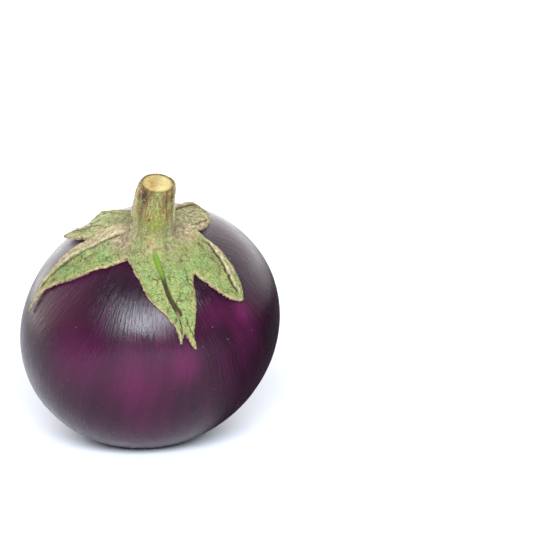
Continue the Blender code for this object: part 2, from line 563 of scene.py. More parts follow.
@dataclass(frozen=True)
class HairyTissue:
    """Green calyx or stalk tissue under a scurf of branched hairs, drying at its edges.

    The hairs make it matt and speckle it with beige. Below them the skin is green, is checked
    by fine brown cracks, and dries to tan and brown along edges and folds. Shade is painted in
    too: fine dark specks stand for the hairs' shadows on the calyx, and dark lines for the shadow
    in some grooves.
    """

    name: str
    base: str
    flesh: tuple[Tint, ...]  # layers under the cracks
    scurf: tuple[Tint, ...]  # layers over them
    scurf_shift: int = 20  # number of the first of those, to keep their speckles apart
    roughness: float = 0.8
    ior: float = 1.4
    specular: float = 0.3
    scurf_size: float = 0.26 * MM  # real tufts are half as wide, too fine to show
    scurf_depth: float = 0.2 * MM
    scurf_detail: float = 3.0  # finer layers in it
    check: Tint = Tint("#3c2d18", 0.78)
    check_size: float = 4.6 * MM
    check_bend: float = 0.8  # how far a crack wanders, as a share of a cell
    check_width: float = 0.34 * MM
    check_cover: Speckle = Speckle(2.2 * MM, 0.33, 0.06)

    def checks(self, tree: bpy.types.NodeTree, place: Socket) -> bpy.types.ShaderNode:
        """Node that is 1 on cracks: wavy edges of cells, broken up by a soft pattern.

        Args:
            tree: the node tree.
            place: output with the place in object space.

        Returns:
            The last node.
        """
        scale = 1.0 / self.check_size
        wander = node(tree, "TexNoise", {"Vector": place, "Scale": scale}).outputs["Color"]
        offset = node(tree, "VectorMath", {0: wander, 1: (0.5, 0.5, 0.5)}, operation="SUBTRACT")
        bend = {0: offset, "Scale": self.check_bend * self.check_size}
        bend = node(tree, "VectorMath", bend, operation="SCALE")
        moved = node(tree, "VectorMath", {0: place, 1: bend})
        cells = {"Vector": moved, "Scale": scale}
        distance = node(tree, "TexVoronoi", cells, feature="DISTANCE_TO_EDGE")
        width = self.check_width * scale
        line = node(tree, "MapRange", {0: distance, 1: 0.25 * width, 2: width, 3: 1.0, 4: 0.0})
        cover = self.check_cover.nodes(tree, place)
        return node(tree, "Math", {0: line, 1: cover}, operation="MULTIPLY")

    def material(self) -> bpy.types.Material:
        """Builds the tissue's node material.

        Returns:
            The material.
        """
        material, tree = clean_material(self.name)
        place = node(tree, "TexCoord").outputs["Object"]
        colour = layered(tree, linear(self.base), self.flesh, place)
        colour = self.check.over(tree, colour, place, pattern=self.checks(tree, place))
        colour = layered(tree, colour, self.scurf, place, first=self.scurf_shift)
        tissue = {"Base Color": colour, "Roughness": self.roughness, "IOR": self.ior}
        tissue["Specular IOR Level"] = self.specular
        grain = (self.scurf_size, self.scurf_depth, self.scurf_detail)
        tissue["Normal"] = grained(tree, place, *grain)
        node(tree, "OutputMaterial", {"Surface": node(tree, "BsdfPrincipled", tissue)})
        return material


CALYX_TISSUE = HairyTissue(
    name="calyx_tissue_hairy",
    base="#66753c",
    flesh=(
        # fresh green, olive, pale and drying areas, then dark mottling, fine dark specks of painted
        # hair shadow, and light mottling all over
        Tint("#4f7c3b", 0.85, "lush", Speckle(2.6 * MM, 0.62, 0.15)),
        Tint("#7f8142", 0.7, None, Speckle(3.0 * MM, 0.38, 0.1)),
        Tint("#b2ad7e", 0.8, "pale", Speckle(1.0 * MM, 0.7, 0.15)),
        Tint("#857a50", 0.8, "dry", Speckle(1.2 * MM, 0.75, 0.15)),
        Tint("#4c5229", 0.6, None, Speckle(1.5 * MM, 0.3, 0.12)),
        # fine dark specks: painted shadows of the hairs
        Tint("#38421f", 0.32, None, Speckle(0.28 * MM, 0.3, 0.09)),
        Tint("#a3a176", 0.42, None, Speckle(0.24 * MM, 0.32, 0.09)),
    ),
    scurf=(
        # brown specks all over, scurf around the stalk, and dry tissue on folds and margins
        Tint("#4a3b22", 0.85, None, Speckle(0.6 * MM, 0.09, 0.04)),
        Tint("#947e60", 0.8, "base_scurf", Speckle(0.7 * MM, 0.5, 0.1)),
        Tint("#4c3640", 0.8, "base_scurf", Speckle(0.5 * MM, 0.22, 0.04)),
        Tint("#967f68", 0.8, "dark_scurf", Speckle(0.9 * MM, 0.6, 0.1)),
        Tint("#3f2a32", 0.85, "dark_scurf", Speckle(0.55 * MM, 0.4, 0.06)),
        Tint("#b3a585", 0.8, "dry", Speckle(0.5 * MM, 0.5, 0.1)),
        Tint("#5a4a35", 0.7, "dry", Speckle(0.6 * MM, 0.16)),
        Tint("#b5a383", 0.8, "strip", Speckle(0.6 * MM, 0.75, 0.12)),
        Tint("#775e45", 0.75, "strip", Speckle(0.5 * MM, 0.34, 0.08)),
        Tint("#a8906c", 0.85, "margin", Speckle(0.9 * MM, 0.8, 0.1)),
        Tint("#5a4029", 0.8, "margin", Speckle(0.5 * MM, 0.35)),
        Tint("#a9805a", 0.75, "tan", Speckle(0.5 * MM, 0.7, 0.12)),
        Tint("#5a3c20", 0.85, "brown", Speckle(0.6 * MM, 0.75)),
        # the slit's floor, fresh near the stalk and dried brown lower down, and open cracks with
        # painted shadow in the folds' grooves
        Tint("#56701a", 0.95, "slit_fresh"),
        Tint("#2b1d0f", 0.95, "slit_dry"),
        Tint("#6a5332", 0.9, "slit_end"),
        # dark groove line: open cracks, and painted shadow where a raised strip overhangs
        Tint("#2b1d10", 0.95, "crack_and_shadow"),
    ),
)

STALK_TISSUE = HairyTissue(
    name="stalk_bark_hairy",
    base="#65582a",
    flesh=(
        Tint("#5f7d38", 0.6, "green_foot", Speckle(2.6 * MM, 0.7, 0.15)),
        Tint("#6d7f22", 0.85, "sappy", Speckle(1.6 * MM, 0.8, 0.2)),
        Tint("#586b3e", 0.8, "bluish", Speckle(1.6 * MM, 0.75, 0.15)),
        Tint("#74502a", 0.8, "weathered", Speckle(0.9 * MM, 0.6, 0.15, True)),
        Tint("#5e4322", 0.4, None, Speckle(0.9 * MM, 0.25, 0.1, True)),
        Tint("#3f3419", 0.5, None, Speckle(0.3 * MM, 0.28, 0.08)),
        Tint("#8c7b50", 0.6, None, Speckle(0.34 * MM, 0.32)),
    ),
    scurf=(
        Tint("#50371f", 0.7, "weathered", Speckle(0.5 * MM, 0.28, 0.06, True)),
        Tint("#978763", 0.5, None, Speckle(0.34 * MM, 0.16, 0.06, True)),
        Tint("#a09275", 0.8, "base_scurf", Speckle(0.5 * MM, 0.45, 0.1)),
        Tint("#4c3640", 0.8, "base_scurf", Speckle(0.5 * MM, 0.2, 0.04)),
        Tint("#c4b78f", 0.95, "ridge", Speckle(0.5 * MM, 0.75, 0.12)),
        Tint("#8a7249", 0.6, "ridge", Speckle(0.36 * MM, 0.3, 0.06)),
        # dark bruises, and painted shade along the groove left of the front
        Tint("#2f2017", 0.9, "bruise_and_groove_shade", Speckle(0.8 * MM, 0.85, 0.12)),
        Tint("#4a3520", 0.9, "rim", Speckle(0.4 * MM, 0.65, 0.06)),
    ),
    check_cover=Speckle(2.2 * MM, 0.12, 0.06),
)


@dataclass(frozen=True)
class CutPith:
    """Cut stalk, drying: pale pith in the middle, a greener ring of vessels outside."""

    tints: tuple[Tint, ...] = (
        Tint("#80571f", 0.85, "tan", Speckle(0.45 * MM, 0.55, 0.06)),
        Tint("#a09a5e", 0.7, "vessel_ring", Speckle(0.7 * MM, 0.55, 0.15)),
        Tint("#76562a", 0.7, "outer", Speckle(0.4 * MM, 0.5)),
        Tint("#b8aa73", 0.8, "cream", Speckle(0.8 * MM, 0.7, 0.2)),
    )
    base: str = "#947f4a"
    roughness: float = 0.6
    ior: float = 1.4
    fibre_size: float = 0.4 * MM
    fibre_depth: float = 0.1 * MM

    def material(self) -> bpy.types.Material:
        """Builds the cut face's node material.

        Returns:
            The material.
        """
        material, tree = clean_material("stalk_pith_cut")
        place = node(tree, "TexCoord").outputs["Object"]
        pith = {"Base Color": layered(tree, linear(self.base), self.tints, place)}
        pith |= {"Roughness": self.roughness, "IOR": self.ior}
        pith["Normal"] = grained(tree, place, self.fibre_size, self.fibre_depth)
        node(tree, "OutputMaterial", {"Surface": node(tree, "BsdfPrincipled", pith)})
        return material


@dataclass(frozen=True)
class PlantHair:
    """Dry branched hairs: hollow, so they scatter light and look beige."""

    name: str
    colour: str
    tints: tuple[Tint, ...]
    roughness: float = 0.8

    def material(self) -> bpy.types.Material:
        """Builds the hairs' node material.

        Returns:
            The material.
        """
        material, tree = clean_material(self.name)
        place = node(tree, "TexCoord").outputs["Object"]
        hair = {"Base Color": layered(tree, linear(self.colour), self.tints, place)}
        hair["Roughness"] = self.roughness
        node(tree, "OutputMaterial", {"Surface": node(tree, "BsdfPrincipled", hair)})
        return material


CALYX_HAIR = PlantHair(
    "plant_hair_green",
    "#a99a70",
    (
        Tint("#7d8850", 0.9, None, Speckle(0.8 * MM, 0.4)),
        Tint("#5f4c30", 0.8, None, Speckle(0.5 * MM, 0.14)),
    ),
)
STALK_HAIR = PlantHair(
    "plant_hair_dry",
    "#c2b896",
    (Tint("#8f8354", 0.8, None, Speckle(0.8 * MM, 0.4)),),
)


# The eggplant


@dataclass(frozen=True)
class FruitForm:
    """Shape of the bare fruit: an ellipsoid with a little relief, flattened where it rests."""

    length: float = 90.4 * MM
    breadth: float = 84.0 * MM
    height: float = 76.8 * MM
    turn: float = 48.6  # of the long axis about the short one
    tilt: float = 20.0  # of the short axis towards -Y
    lean: float = 12.0  # of the short axis towards -X
    crown_tilt: float = 32.0  # of the crown from +Z towards -Y
    crown_lean: float = 3.6  # and towards +X
    swellings: tuple[tuple[float, float, int], ...] = (
        # wavelength, height, seed
        (60 * MM, 0.2 * MM, 4),
        (15 * MM, 0.035 * MM, 9),
    )
    dips: tuple[tuple[float, float, float], ...] = (
        # reach, radius in degrees, depth: at the crown and at the blossom end
        (0.0, 13.0, 0.7 * MM),
        (180.0, 8.0, 1.1 * MM),
    )

    def shape(self) -> Array:
        """Map of a unit sphere onto the ellipsoid."""
        turn = turned(Axis.Y, -self.lean) @ turned(Axis.X, self.tilt) @ turned(Axis.Z, self.turn)
        return turn @ np.diag([self.length / 2, self.breadth / 2, self.height / 2])

    def centre(self) -> Array:
        """Middle of the ellipsoid: mid-box across, and half its own height below the top.

        Half its height is the square root of the last term of M M^T, where M is its map.

        Returns:
            The point.
        """
        low, high = (np.array(corner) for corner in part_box("fruit"))
        shape = self.shape()
        half_height = math.sqrt((shape @ shape.T)[2, 2])
        return np.array([(low[0] + high[0]) / 2, (low[1] + high[1]) / 2, high[2] - half_height])

    def heading(self, azimuth: Array, reach: Array) -> Array:
        """Direction from the centre, in round coordinates about the crown.

        It is (sin r sin a, -sin r cos a, cos r), for reach r and azimuth a, leant as the crown.

        Args:
            azimuth: about the crown.
            reach: away from the crown.

        Returns:
            Unit vectors in the last axis.
        """
        turn, away = np.radians(azimuth), np.radians(reach)
        local = np.stack(
            [np.sin(away) * np.sin(turn), -np.sin(away) * np.cos(turn), np.cos(away)], axis=-1
        )
        return local @ leaning(self.crown_tilt, self.crown_lean).T

    def skin(self, azimuth: Array, reach: Array, lift: Array | float = 0.0) -> tuple[Array, Array]:
        """Points on the skin, or above it, and the skin's normals there.

        A point is the centre plus the heading times 1 / |M^-1 heading|, where M maps the unit
        sphere onto the ellipsoid. Relief is added along the normal: two sizes of ripples, a
        shallow dip at the crown and a deeper one at the blossom end.

        Args:
            azimuth: about the crown.
            reach: away from the crown.
            lift: height above the skin.

        Returns:
            Points and unit normals.
        """
        shape = self.shape()
        inverse = np.linalg.inv(shape)
        heading = self.heading(azimuth, reach)
        stretch = np.linalg.norm(heading @ inverse.T, axis=-1, keepdims=True)
        points = heading / stretch
        normals = unit(points @ (inverse.T @ inverse).T)
        relief = sum(
            height * Ripples(wavelength, seed).at(points)
            for wavelength, height, seed in self.swellings
        )
        for middle, radius, depth in self.dips:
            relief = relief - depth * bell(reach, middle, radius)
        raised = points + normals * np.asarray(relief + lift)[..., None]
        return raised + self.centre(), normals


@dataclass(frozen=True)
class Fruit:
    """The fruit with its skin."""

    form: FruitForm
    meridians: int = 400
    parallels: int = 200
    foot_rounding: float = 0.25 * MM  # height over which the skin fades into the flat foot
    scar_reach: float = 4.5  # degrees from the blossom end
    streak_stretch: float = 7.0  # length of the skin's streaks over their width
    swirl: float = 3.0  # degrees that the streaks wander sideways
    swirl_size: float = 50 * MM
    cloud_size: float = 38 * MM  # of soft areas of deeper and lighter colour
    fleck_size: float = 5 * MM  # width of the colour's faint streaks
    crown_painted_shade: tuple[float, float, float] = (0.6, 50.0, 28.0)  # painted shade under the calyx: strength, reach of none, of all
    # pink patches: partly the skin's own tone, partly painted sheen and soft reflection
    pink_and_sheen_patches: tuple[Patch, ...] = (
        Patch(-1.0, 80.0, 17.0, 0.75),
        Patch(21.0, 64.0, 8.0, 0.75),
        Patch(62.0, 54.0, 5.0, 0.9),
        Patch(44.0, 47.0, 7.0, 0.5),
        Patch(-35.0, 70.0, 12.0, 0.3),
    )
    # painted shade: dark patches where the skin lies in shade and reflects dark surroundings
    painted_shade_patches: tuple[Patch, ...] = (
        Patch(42.0, 57.0, 8.0, 0.9),
        Patch(-52.0, 70.0, 9.0, 0.6),
        Patch(-3.0, 58.0, 8.0, 0.3),
        Patch(80.0, 75.0, 22.0, 0.7),
        Patch(85.0, 110.0, 25.0, 0.5),
        Patch(-20.0, 32.0, 12.0, 0.4),
    )
    # painted reflection: soft brownish light on the left side
    painted_reflection_patches: tuple[Patch, ...] = (Patch(-62.0, 66.0, 11.0, 0.9), Patch(-48.0, 50.0, 10.0, 0.4))

    def surface(self) -> Surface:
        """Skin over a grid of azimuth and reach, with a point at each pole.

        The height is bent to (z + sqrt(z^2 + e^2)) / 2, which is z above the floor and fades
        to a flat foot at it.

        Returns:
            The closed surface.
        """
        reach = np.linspace(0.0, 180.0, self.parallels)
        azimuth = np.arange(self.meridians) * 360.0 / self.meridians
        away, turn = np.meshgrid(reach, azimuth, indexing="ij")
        points, _ = self.form.skin(turn, away)
        height = points[..., 2]
        points[..., 2] = (height + np.sqrt(height**2 + self.foot_rounding**2)) / 2
        faces = grid_faces(self.parallels, self.meridians, ring=True)
        masks = self.masks(turn, away, points)
        flat = {name: values.reshape(-1, *values.shape[2:]) for name, values in masks.items()}
        return Surface(points.reshape(-1, 3), faces[:, ::-1], flat).welded()

    def masks(self, turn: Array, away: Array, points: Array) -> dict[str, Array]:
        """Where painted shade, pink tone with painted sheen, and a painted reflection lie, and the
        streaks' own coordinates.

        Those wrap the azimuth round a cylinder and run the reach along it, squeezed, so that a
        pattern on them is drawn out from the crown to the blossom end.

        Args:
            turn: azimuth of each point.
            away: its reach.
            points: the points.

        Returns:
            The masks, by the names that the skin's material reads.
        """
        swirl = np.radians(turn + self.swirl * Ripples(self.swirl_size, seed=21).at(points))
        radius = self.form.breadth / 2
        meridian = np.stack(
            [
                radius * np.cos(swirl),
                radius * np.sin(swirl),
                radius * np.radians(away) / self.streak_stretch,
            ],
            axis=-1,
        )
        soft = Ripples(self.cloud_size, seed=2).at(points)
        streaky = Ripples(self.fleck_size, seed=5).at(meridian)
        places = on_map(turn, away)
        # Pink: partly the skin's own tone, partly painted sheen
        blush_and_sheen = patched(self.pink_and_sheen_patches, places) + 0.18 * soft + 0.04 * streaky
        # Painted shade: dark patches, and a band under the calyx towards the crown
        strength, none, full = self.crown_painted_shade
        crown = strength * ease(none, full, away)
        painted_shade = patched(self.painted_shade_patches, places) + crown - 0.2 * soft
        # Painted reflection: soft brownish light on the left side
        painted_reflection = patched(self.painted_reflection_patches, places)
        scar = ease(1.7 * self.scar_reach, self.scar_reach, 180.0 - away)
        return {
            "meridian": meridian,
            "blush_and_sheen": np.clip(blush_and_sheen, 0.0, 1.0),
            "painted_shade": np.clip(painted_shade, 0.0, 1.0),
            "painted_reflection": np.clip(painted_reflection, 0.0, 1.0),
            "scar": scar,
        }

    def build(self) -> list[bpy.types.Object]:
        """Makes the fruit and hides the imported one.

        Returns:
            The one piece.
        """
        piece = self.surface().piece("fruit_skin", WaxySkin().material())
        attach(piece, "root")
        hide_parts("fruit")
        return [piece]


def off_azimuth(azimuth: Array, middle: float) -> Array:
    """Degrees from a middle azimuth to each azimuth, the short way round: -180 to 180."""
    return (azimuth - middle + 180.0) % 360.0 - 180.0


@dataclass(frozen=True)
class Stain:
    """Soft-edged stripe or blot on the stalk, in azimuth and in share of its length.

    Across it is a bell. Along it is a bell too, or else a smooth ramp.
    """

    azimuth: float
    width: float
    along: tuple[float, float]  # a bell's middle and width, or shares where a ramp is 0 and 1
    strength: float
    ramp: bool = False

    def at(self, side: Array, share: Array) -> Array:
        """Strength of the stain at an azimuth (-180 to 180) and a share of the length."""
        along = ease(*self.along, share) if self.ramp else bell(share, *self.along)
        return self.strength * bell(side, self.azimuth, self.width) * along


@dataclass(frozen=True)
class StemForm:
    """Shape of the stalk: a ribbed tube with a slanted end, in its own frame."""

    form: FruitForm
    length: float = 21.3 * MM
    low: float = 6.8 * MM
    top: float = 5.55 * MM
    end: float = 5.1 * MM  # radius of the cut end's outer rim
    shoulder: float = 1.5 * MM  # how far below the end it narrows
    worn_shoulder: float = 2.6 * MM  # extra on the side that is worn down
    worn_side: float = -85.0
    worn_width: float = 38.0
    tilt: float = 30.0
    lean: float = 6.6
    slant: float = 5.0
    bow: float = 0.3 * MM  # sideways bend at mid-length
    foot_height: float = 2.2 * MM  # of the foot over the fruit's bare skin
    fibres: float = 0.08 * MM  # height of the fine lengthwise ones
    lumps: float = 0.14 * MM  # height of the broader unevenness
    ribs: tuple[tuple[float, float, float], ...] = (
        # azimuth, width in degrees, height
        (-78.0, 18.0, 0.75 * MM),
        (-48.0, 9.0, -0.40 * MM),
        (12.0, 22.0, 0.12 * MM),
        (48.0, 9.0, -0.30 * MM),
        (76.0, 15.0, 0.15 * MM),
        (128.0, 16.0, 0.25 * MM),
        (160.0, 10.0, -0.25 * MM),
        (-150.0, 20.0, 0.35 * MM),
        (-118.0, 10.0, -0.20 * MM),
    )

    def foot(self) -> Array:
        """Where the stalk's axis meets the outside of the calyx.

        Returns:
            The point.
        """
        shape = self.form.shape()
        heading = self.form.heading(np.array(0.0), np.array(0.0))
        skin = heading / np.linalg.norm(np.linalg.inv(shape) @ heading)
        return self.form.centre() + skin + self.foot_height * heading

    def radius(self, azimuth: Array, along: Array) -> Array:
        """Radius at an azimuth and a distance along the stalk.

        It tapers evenly, carries bell-shaped ribs and grooves and fine lengthwise fibres, and
        narrows to the round cut end in a quarter circle over the shoulder.

        Args:
            azimuth: about the stalk's axis.
            along: distance from the foot.

        Returns:
            Radius at each place.
        """
        share = np.clip(along / self.length, 0.0, 1.0)
        body = self.low + (self.top - self.low) * share
        for middle, width, height in self.ribs:
            body = body + height * bell(off_azimuth(azimuth, middle), 0.0, width)
        turn = np.radians(azimuth)
        ring = np.stack(
            [self.low * np.cos(turn), self.low * np.sin(turn), along * 0.12 + 0 * turn], axis=-1
        )
        body += self.fibres * Ripples(1.3 * MM, seed=31).at(ring)
        body += self.lumps * Ripples(5 * MM, seed=33).at(ring * np.array([1.0, 1.0, 4.0]))
        worn = bell(off_azimuth(azimuth, self.worn_side), 0.0, self.worn_width)
        shoulder = self.shoulder + self.worn_shoulder * worn
        near_end = np.clip((along - self.length) / shoulder + 1.0, 0.0, 1.0)
        return self.end + (body - self.end) * np.sqrt(1 - near_end**2)

    def point(self, azimuth: Array, along: Array, radius: Array) -> Array:
        """Place in the world of a point given in the stalk's own round coordinates.

        The axis bows sideways by 4 b s (1 - s) at a share s of the length. The cut's slant
        slides a point along by s^4 r cos a tan(slant), for a radius r and an azimuth a, so
        the slant fades out below the end.

        Args:
            azimuth: about the stalk's axis.
            along: distance from the foot.
            radius: distance from the axis.

        Returns:
            Points in the last axis.
        """
        turn = np.radians(azimuth)
        share = along / self.length
        sideways = -4 * self.bow * share * (1 - share)
        lean = math.tan(math.radians(self.slant))
        slide = np.clip(share, 0.0, 1.0) ** 4 * radius * np.cos(turn) * lean
        local = np.stack(
            [radius * np.sin(turn) + sideways, -radius * np.cos(turn), along + slide], axis=-1
        )
        return local @ leaning(self.tilt, self.lean).T + self.foot()


@dataclass(frozen=True)
class Stem:
    """The stalk and its cut face."""

    stalk: StemForm
    rings: int = 120
    columns: int = 192
    face_rings: int = 40
    sunk: float = 3.0 * MM  # how far its tube goes down inside the calyx
    recess: float = 0.35 * MM  # how far the cut face lies below the bark's rim
    bark: float = 0.32 * MM
    sparse_hairs: float = 0.06  # density of hairs on the front, as a share of the flanks'
    rim_steps: tuple[tuple[float, float], ...] = (
        # inwards in barks, and up in recesses: over the rim and down inside it
        (0.18, 0.16),
        (0.55, 0.16),
        (0.85, -0.05),
        (1.0, -1.0),
        (4.0, -1.0),
    )
    fibre_stretch: float = 5.0  # length of the bark's streaks over their width
    dome: float = 0.3 * MM  # how much the pith swells
    pits: float = 0.035 * MM  # the pith's unevenness
    weathering: tuple[Stain, ...] = (
        Stain(46.0, 16.0, (0.4, 0.7), 0.8, ramp=True),
        Stain(-48.0, 20.0, (0.42, 0.75), 0.35, ramp=True),
    )
    ridges: tuple[Stain, ...] = (
        Stain(-84.0, 19.0, (0.0, 0.3), 1.1, ramp=True),
        Stain(88.0, 11.0, (0.15, 0.5), 0.8, ramp=True),
    )
    # dark brown bruises, and a thin line of painted shade along a groove
    bruises_and_groove_shade: tuple[Stain, ...] = (
        Stain(-38.0, 14.0, (0.86, 0.11), 1.4),
        Stain(-42.0, 6.0, (0.62, 0.16), 0.3),
        Stain(42.0, 5.0, (0.86, 0.14), 0.8),
        Stain(66.0, 6.0, (0.8, 0.2), 0.7),
        # painted shade: thin dark line in the groove between the left rib and the front
        Stain(-58.0, 3.5, (0.5, 0.7), 0.5, ramp=True),
    )
    cools: tuple[Stain, ...] = (
        Stain(2.0, 18.0, (0.6, 0.8), 1.0, ramp=True),
        Stain(-10.0, 18.0, (0.25, 0.1), 0.8, ramp=True),
    )

    def surface(self) -> Surface:
        """Closed tube: up the outside, over the rim, and down to the recess in the end.

        Returns:
            The surface, with a point at each pole.
        """
        azimuth = np.arange(self.columns) * 360.0 / self.columns
        along = np.linspace(-self.sunk, self.stalk.length, self.rings)
        up, turn = np.meshgrid(along, azimuth, indexing="ij")
        outside = self.stalk.point(turn, up, self.stalk.radius(turn, np.maximum(up, 0.0)))
        rim = self.stalk.radius(azimuth, np.full(self.columns, self.stalk.length))
        end = np.full(self.columns, self.stalk.length)
        caps = [
            self.stalk.point(azimuth, end + rise * self.recess, rim - inwards * self.bark)
            for inwards, rise in self.rim_steps
        ]
        middle = self.stalk.point(azimuth, end - self.recess, 0.0 * rim)
        low = self.stalk.point(azimuth, end * 0 - self.sunk, 0.0 * rim)
        points = np.concatenate([low[None], outside, np.array(caps), middle[None]])
        rows = len(points)
        height = np.concatenate(
            [[-self.sunk], along, [self.stalk.length] * (len(caps) + 1)]
        )[:, None] + 0 * azimuth
        masks = self.masks(np.tile(azimuth, (rows, 1)), height, points)
        masks["rim"][self.rings + 1 :] = 1.0
        faces = grid_faces(rows, self.columns, ring=True)
        flat = {name: values.reshape(rows * self.columns, -1) for name, values in masks.items()}
        flat = {name: values.squeeze() for name, values in flat.items()}
        return Surface(points.reshape(-1, 3), faces, flat).welded()

    def masks(self, turn: Array, height: Array, points: Array) -> dict[str, Array]:
        """Where the stalk is green, weathered, ridged, bruised, darkened with painted shade along a
        groove, or dark at the rim.

        Args:
            turn: azimuth of each point.
            height: its distance along the stalk.
            points: the points.

        Returns:
            The masks, by the names that the stalk's material reads.
        """
        side = off_azimuth(turn, 0.0)
        share = height / self.stalk.length
        rough = 0.3 * Ripples(3.5 * MM, seed=41).at(points)
        # Weathered: the top, but for a green stripe in front, two flanks and the whole back
        weathered = ease(0.6, 0.95, share + rough) * ease(12.0, 35.0, np.abs(side - 6.0))
        weathered += sum(stain.at(side, share + rough) for stain in self.weathering)
        weathered += 0.5 * ease(90.0, 120.0, np.abs(side)) * ease(0.2, 0.6, share + rough)
        # Fresh green: a stripe that climbs the front from right to left, and the foot
        sappy = bell(side, 26.0 - 24.0 * share, 18.0) * ease(0.1, 0.3, share)
        sappy *= ease(0.9, 0.65, share)
        green_foot = ease(0.75, 0.35, share + rough) * (1 - 0.8 * bell(side, -80.0, 25.0))
        bluish = sum(stain.at(side, share) for stain in self.cools)
        turn = np.radians(side)
        around = [self.stalk.low * np.cos(turn), self.stalk.low * np.sin(turn)]
        fibre = np.stack([*around, height / self.fibre_stretch], axis=-1)
        # Pale ridges, dark bruises and rim, painted shade along a groove, and scurf around the
        # foot's left and right
        left, right = self.ridges
        ridge = left.at(side, share + rough) * ease(1.0, 0.9, share) + right.at(side, share)
        bruise_and_groove_shade = sum(stain.at(side, share) for stain in self.bruises_and_groove_shade)
        rim = ease(0.965, 1.0, share + 0.03 * rough) * (1 - 0.6 * bell(side, 0.0, 50.0))
        scurf = ease(0.5, 0.25, share) * (0.55 - 0.45 * np.cos(np.radians(2 * side)))
        return {
            "weathered": np.clip(weathered, 0.0, 1.0),
            "sappy": np.clip(sappy, 0.0, 1.0),
            "bluish": np.clip(bluish, 0.0, 1.0),
            "green_foot": np.clip(green_foot, 0.0, 1.0),
            "fibre": fibre,
            "ridge": np.clip(ridge, 0.0, 1.0),
            "bruise_and_groove_shade": np.clip(1.3 * bruise_and_groove_shade + rough * bruise_and_groove_shade, 0.0, 1.0),
            "base_scurf": np.clip(scurf, 0.0, 1.0),
            "rim": rim,
        }

    def hairy(self) -> tuple[Array, Array]:
        """Grid of points up the outside, and where hairs stand on it.

        Returns:
            The points, and how densely hairs stand: mostly on the left and right flanks.
        """
        azimuth = np.linspace(0.0, 360.0, self.columns + 1)
        along = np.linspace(0.25 * self.stalk.length, self.stalk.length, self.rings)
        up, turn = np.meshgrid(along, azimuth, indexing="ij")
        grid = self.stalk.point(turn, up, self.stalk.radius(turn, up))
        side = np.abs(off_azimuth(turn, 0.0))
        sparse = self.sparse_hairs
        return grid[::-1], (sparse + (1 - sparse) * ease(58.0, 84.0, side))[::-1]

    def face(self) -> Surface:
        """Cut face: a shallow uneven dome, over a grid of radius and azimuth.

        It stands h (1 - s^4) above its edge at a share s of the radius, and its outermost ring
        is tucked down behind the bark.

        Returns:
            The surface, with a point in the middle.
        """
        azimuth = np.arange(self.columns) * 360.0 / self.columns
        rim = self.stalk.radius(azimuth, np.full(self.columns, self.stalk.length)) - self.bark
        share = np.concatenate([[1.0, 1.0], np.linspace(0.985, 0.0, self.face_rings)])[:, None]
        radius = share * rim
        turn = np.radians(azimuth)
        aside = radius * np.sin(turn)
        forward = -radius * np.cos(turn)
        dome = self.dome * (1 - share**4)
        dome = dome + self.pits * Ripples(1.6 * MM, seed=51).at(np.stack([aside, forward], -1))
        edge = np.where(np.arange(len(share)) == 0, -1.5, 0.0)[:, None] * self.recess
        height = self.stalk.length - 0.6 * self.recess + dome + edge
        points = self.stalk.point(azimuth + 0 * share, height, radius)
        middle = points[:1] * 0 + points[:1].mean(axis=1, keepdims=True)
        points = np.concatenate([middle, points])
        share = np.concatenate([share[:1] * 0, share])
        aside = np.concatenate([aside[:1] * 0, aside])
        forward = np.concatenate([forward[:1] * 0, forward])
        tan = ease(-0.6 * MM, 2.2 * MM, -aside - 0.3 * forward) * (1.0 + 0 * share)
        cream = ease(-0.8 * MM, 1.2 * MM, aside - 0.2 * forward) * ease(0.95, 0.7, share)
        outer = ease(0.86, 1.0, share + 0 * aside)
        ring = bell(share, 0.78, 0.16) + 0 * aside
        masks = {"tan": tan, "vessel_ring": ring, "outer": outer, "cream": cream}
        flat = {name: values.reshape(-1) for name, values in masks.items()}
        faces = grid_faces(len(points), self.columns, ring=True)
        return Surface(points.reshape(-1, 3), faces, flat).welded()

    def build(self) -> list[bpy.types.Object]:
        """Makes the stalk and its cut face, and hides the imported stem.

        Returns:
            Both pieces.
        """
        stalk = self.surface().piece("stem_stalk", STALK_TISSUE.material())
        face = self.face().piece("stem_cut_face", CutPith().material())
        for piece in (stalk, face):
            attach(piece, "root")
        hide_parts("stem")
        return [stalk, face]


@dataclass(frozen=True)
class Lobe:
    """One lobe of the calyx: an outline from the notch before it, over its tip, to the next.

    Places are (azimuth, reach) pairs.
    """

    before: tuple[tuple[float, float], ...]  # from the notch before it to its tip
    tip: tuple[float, float]
    after: tuple[tuple[float, float], ...]  # from its tip to its own notch
    notch: tuple[float, float]  # between this lobe and the next
    lift: float  # how far the tip stands off the fruit
    columns: int  # of its grid
    tip_half_width: float = 0.45  # degrees
    withered: float = 0.0  # share of the thickness lost at the tip


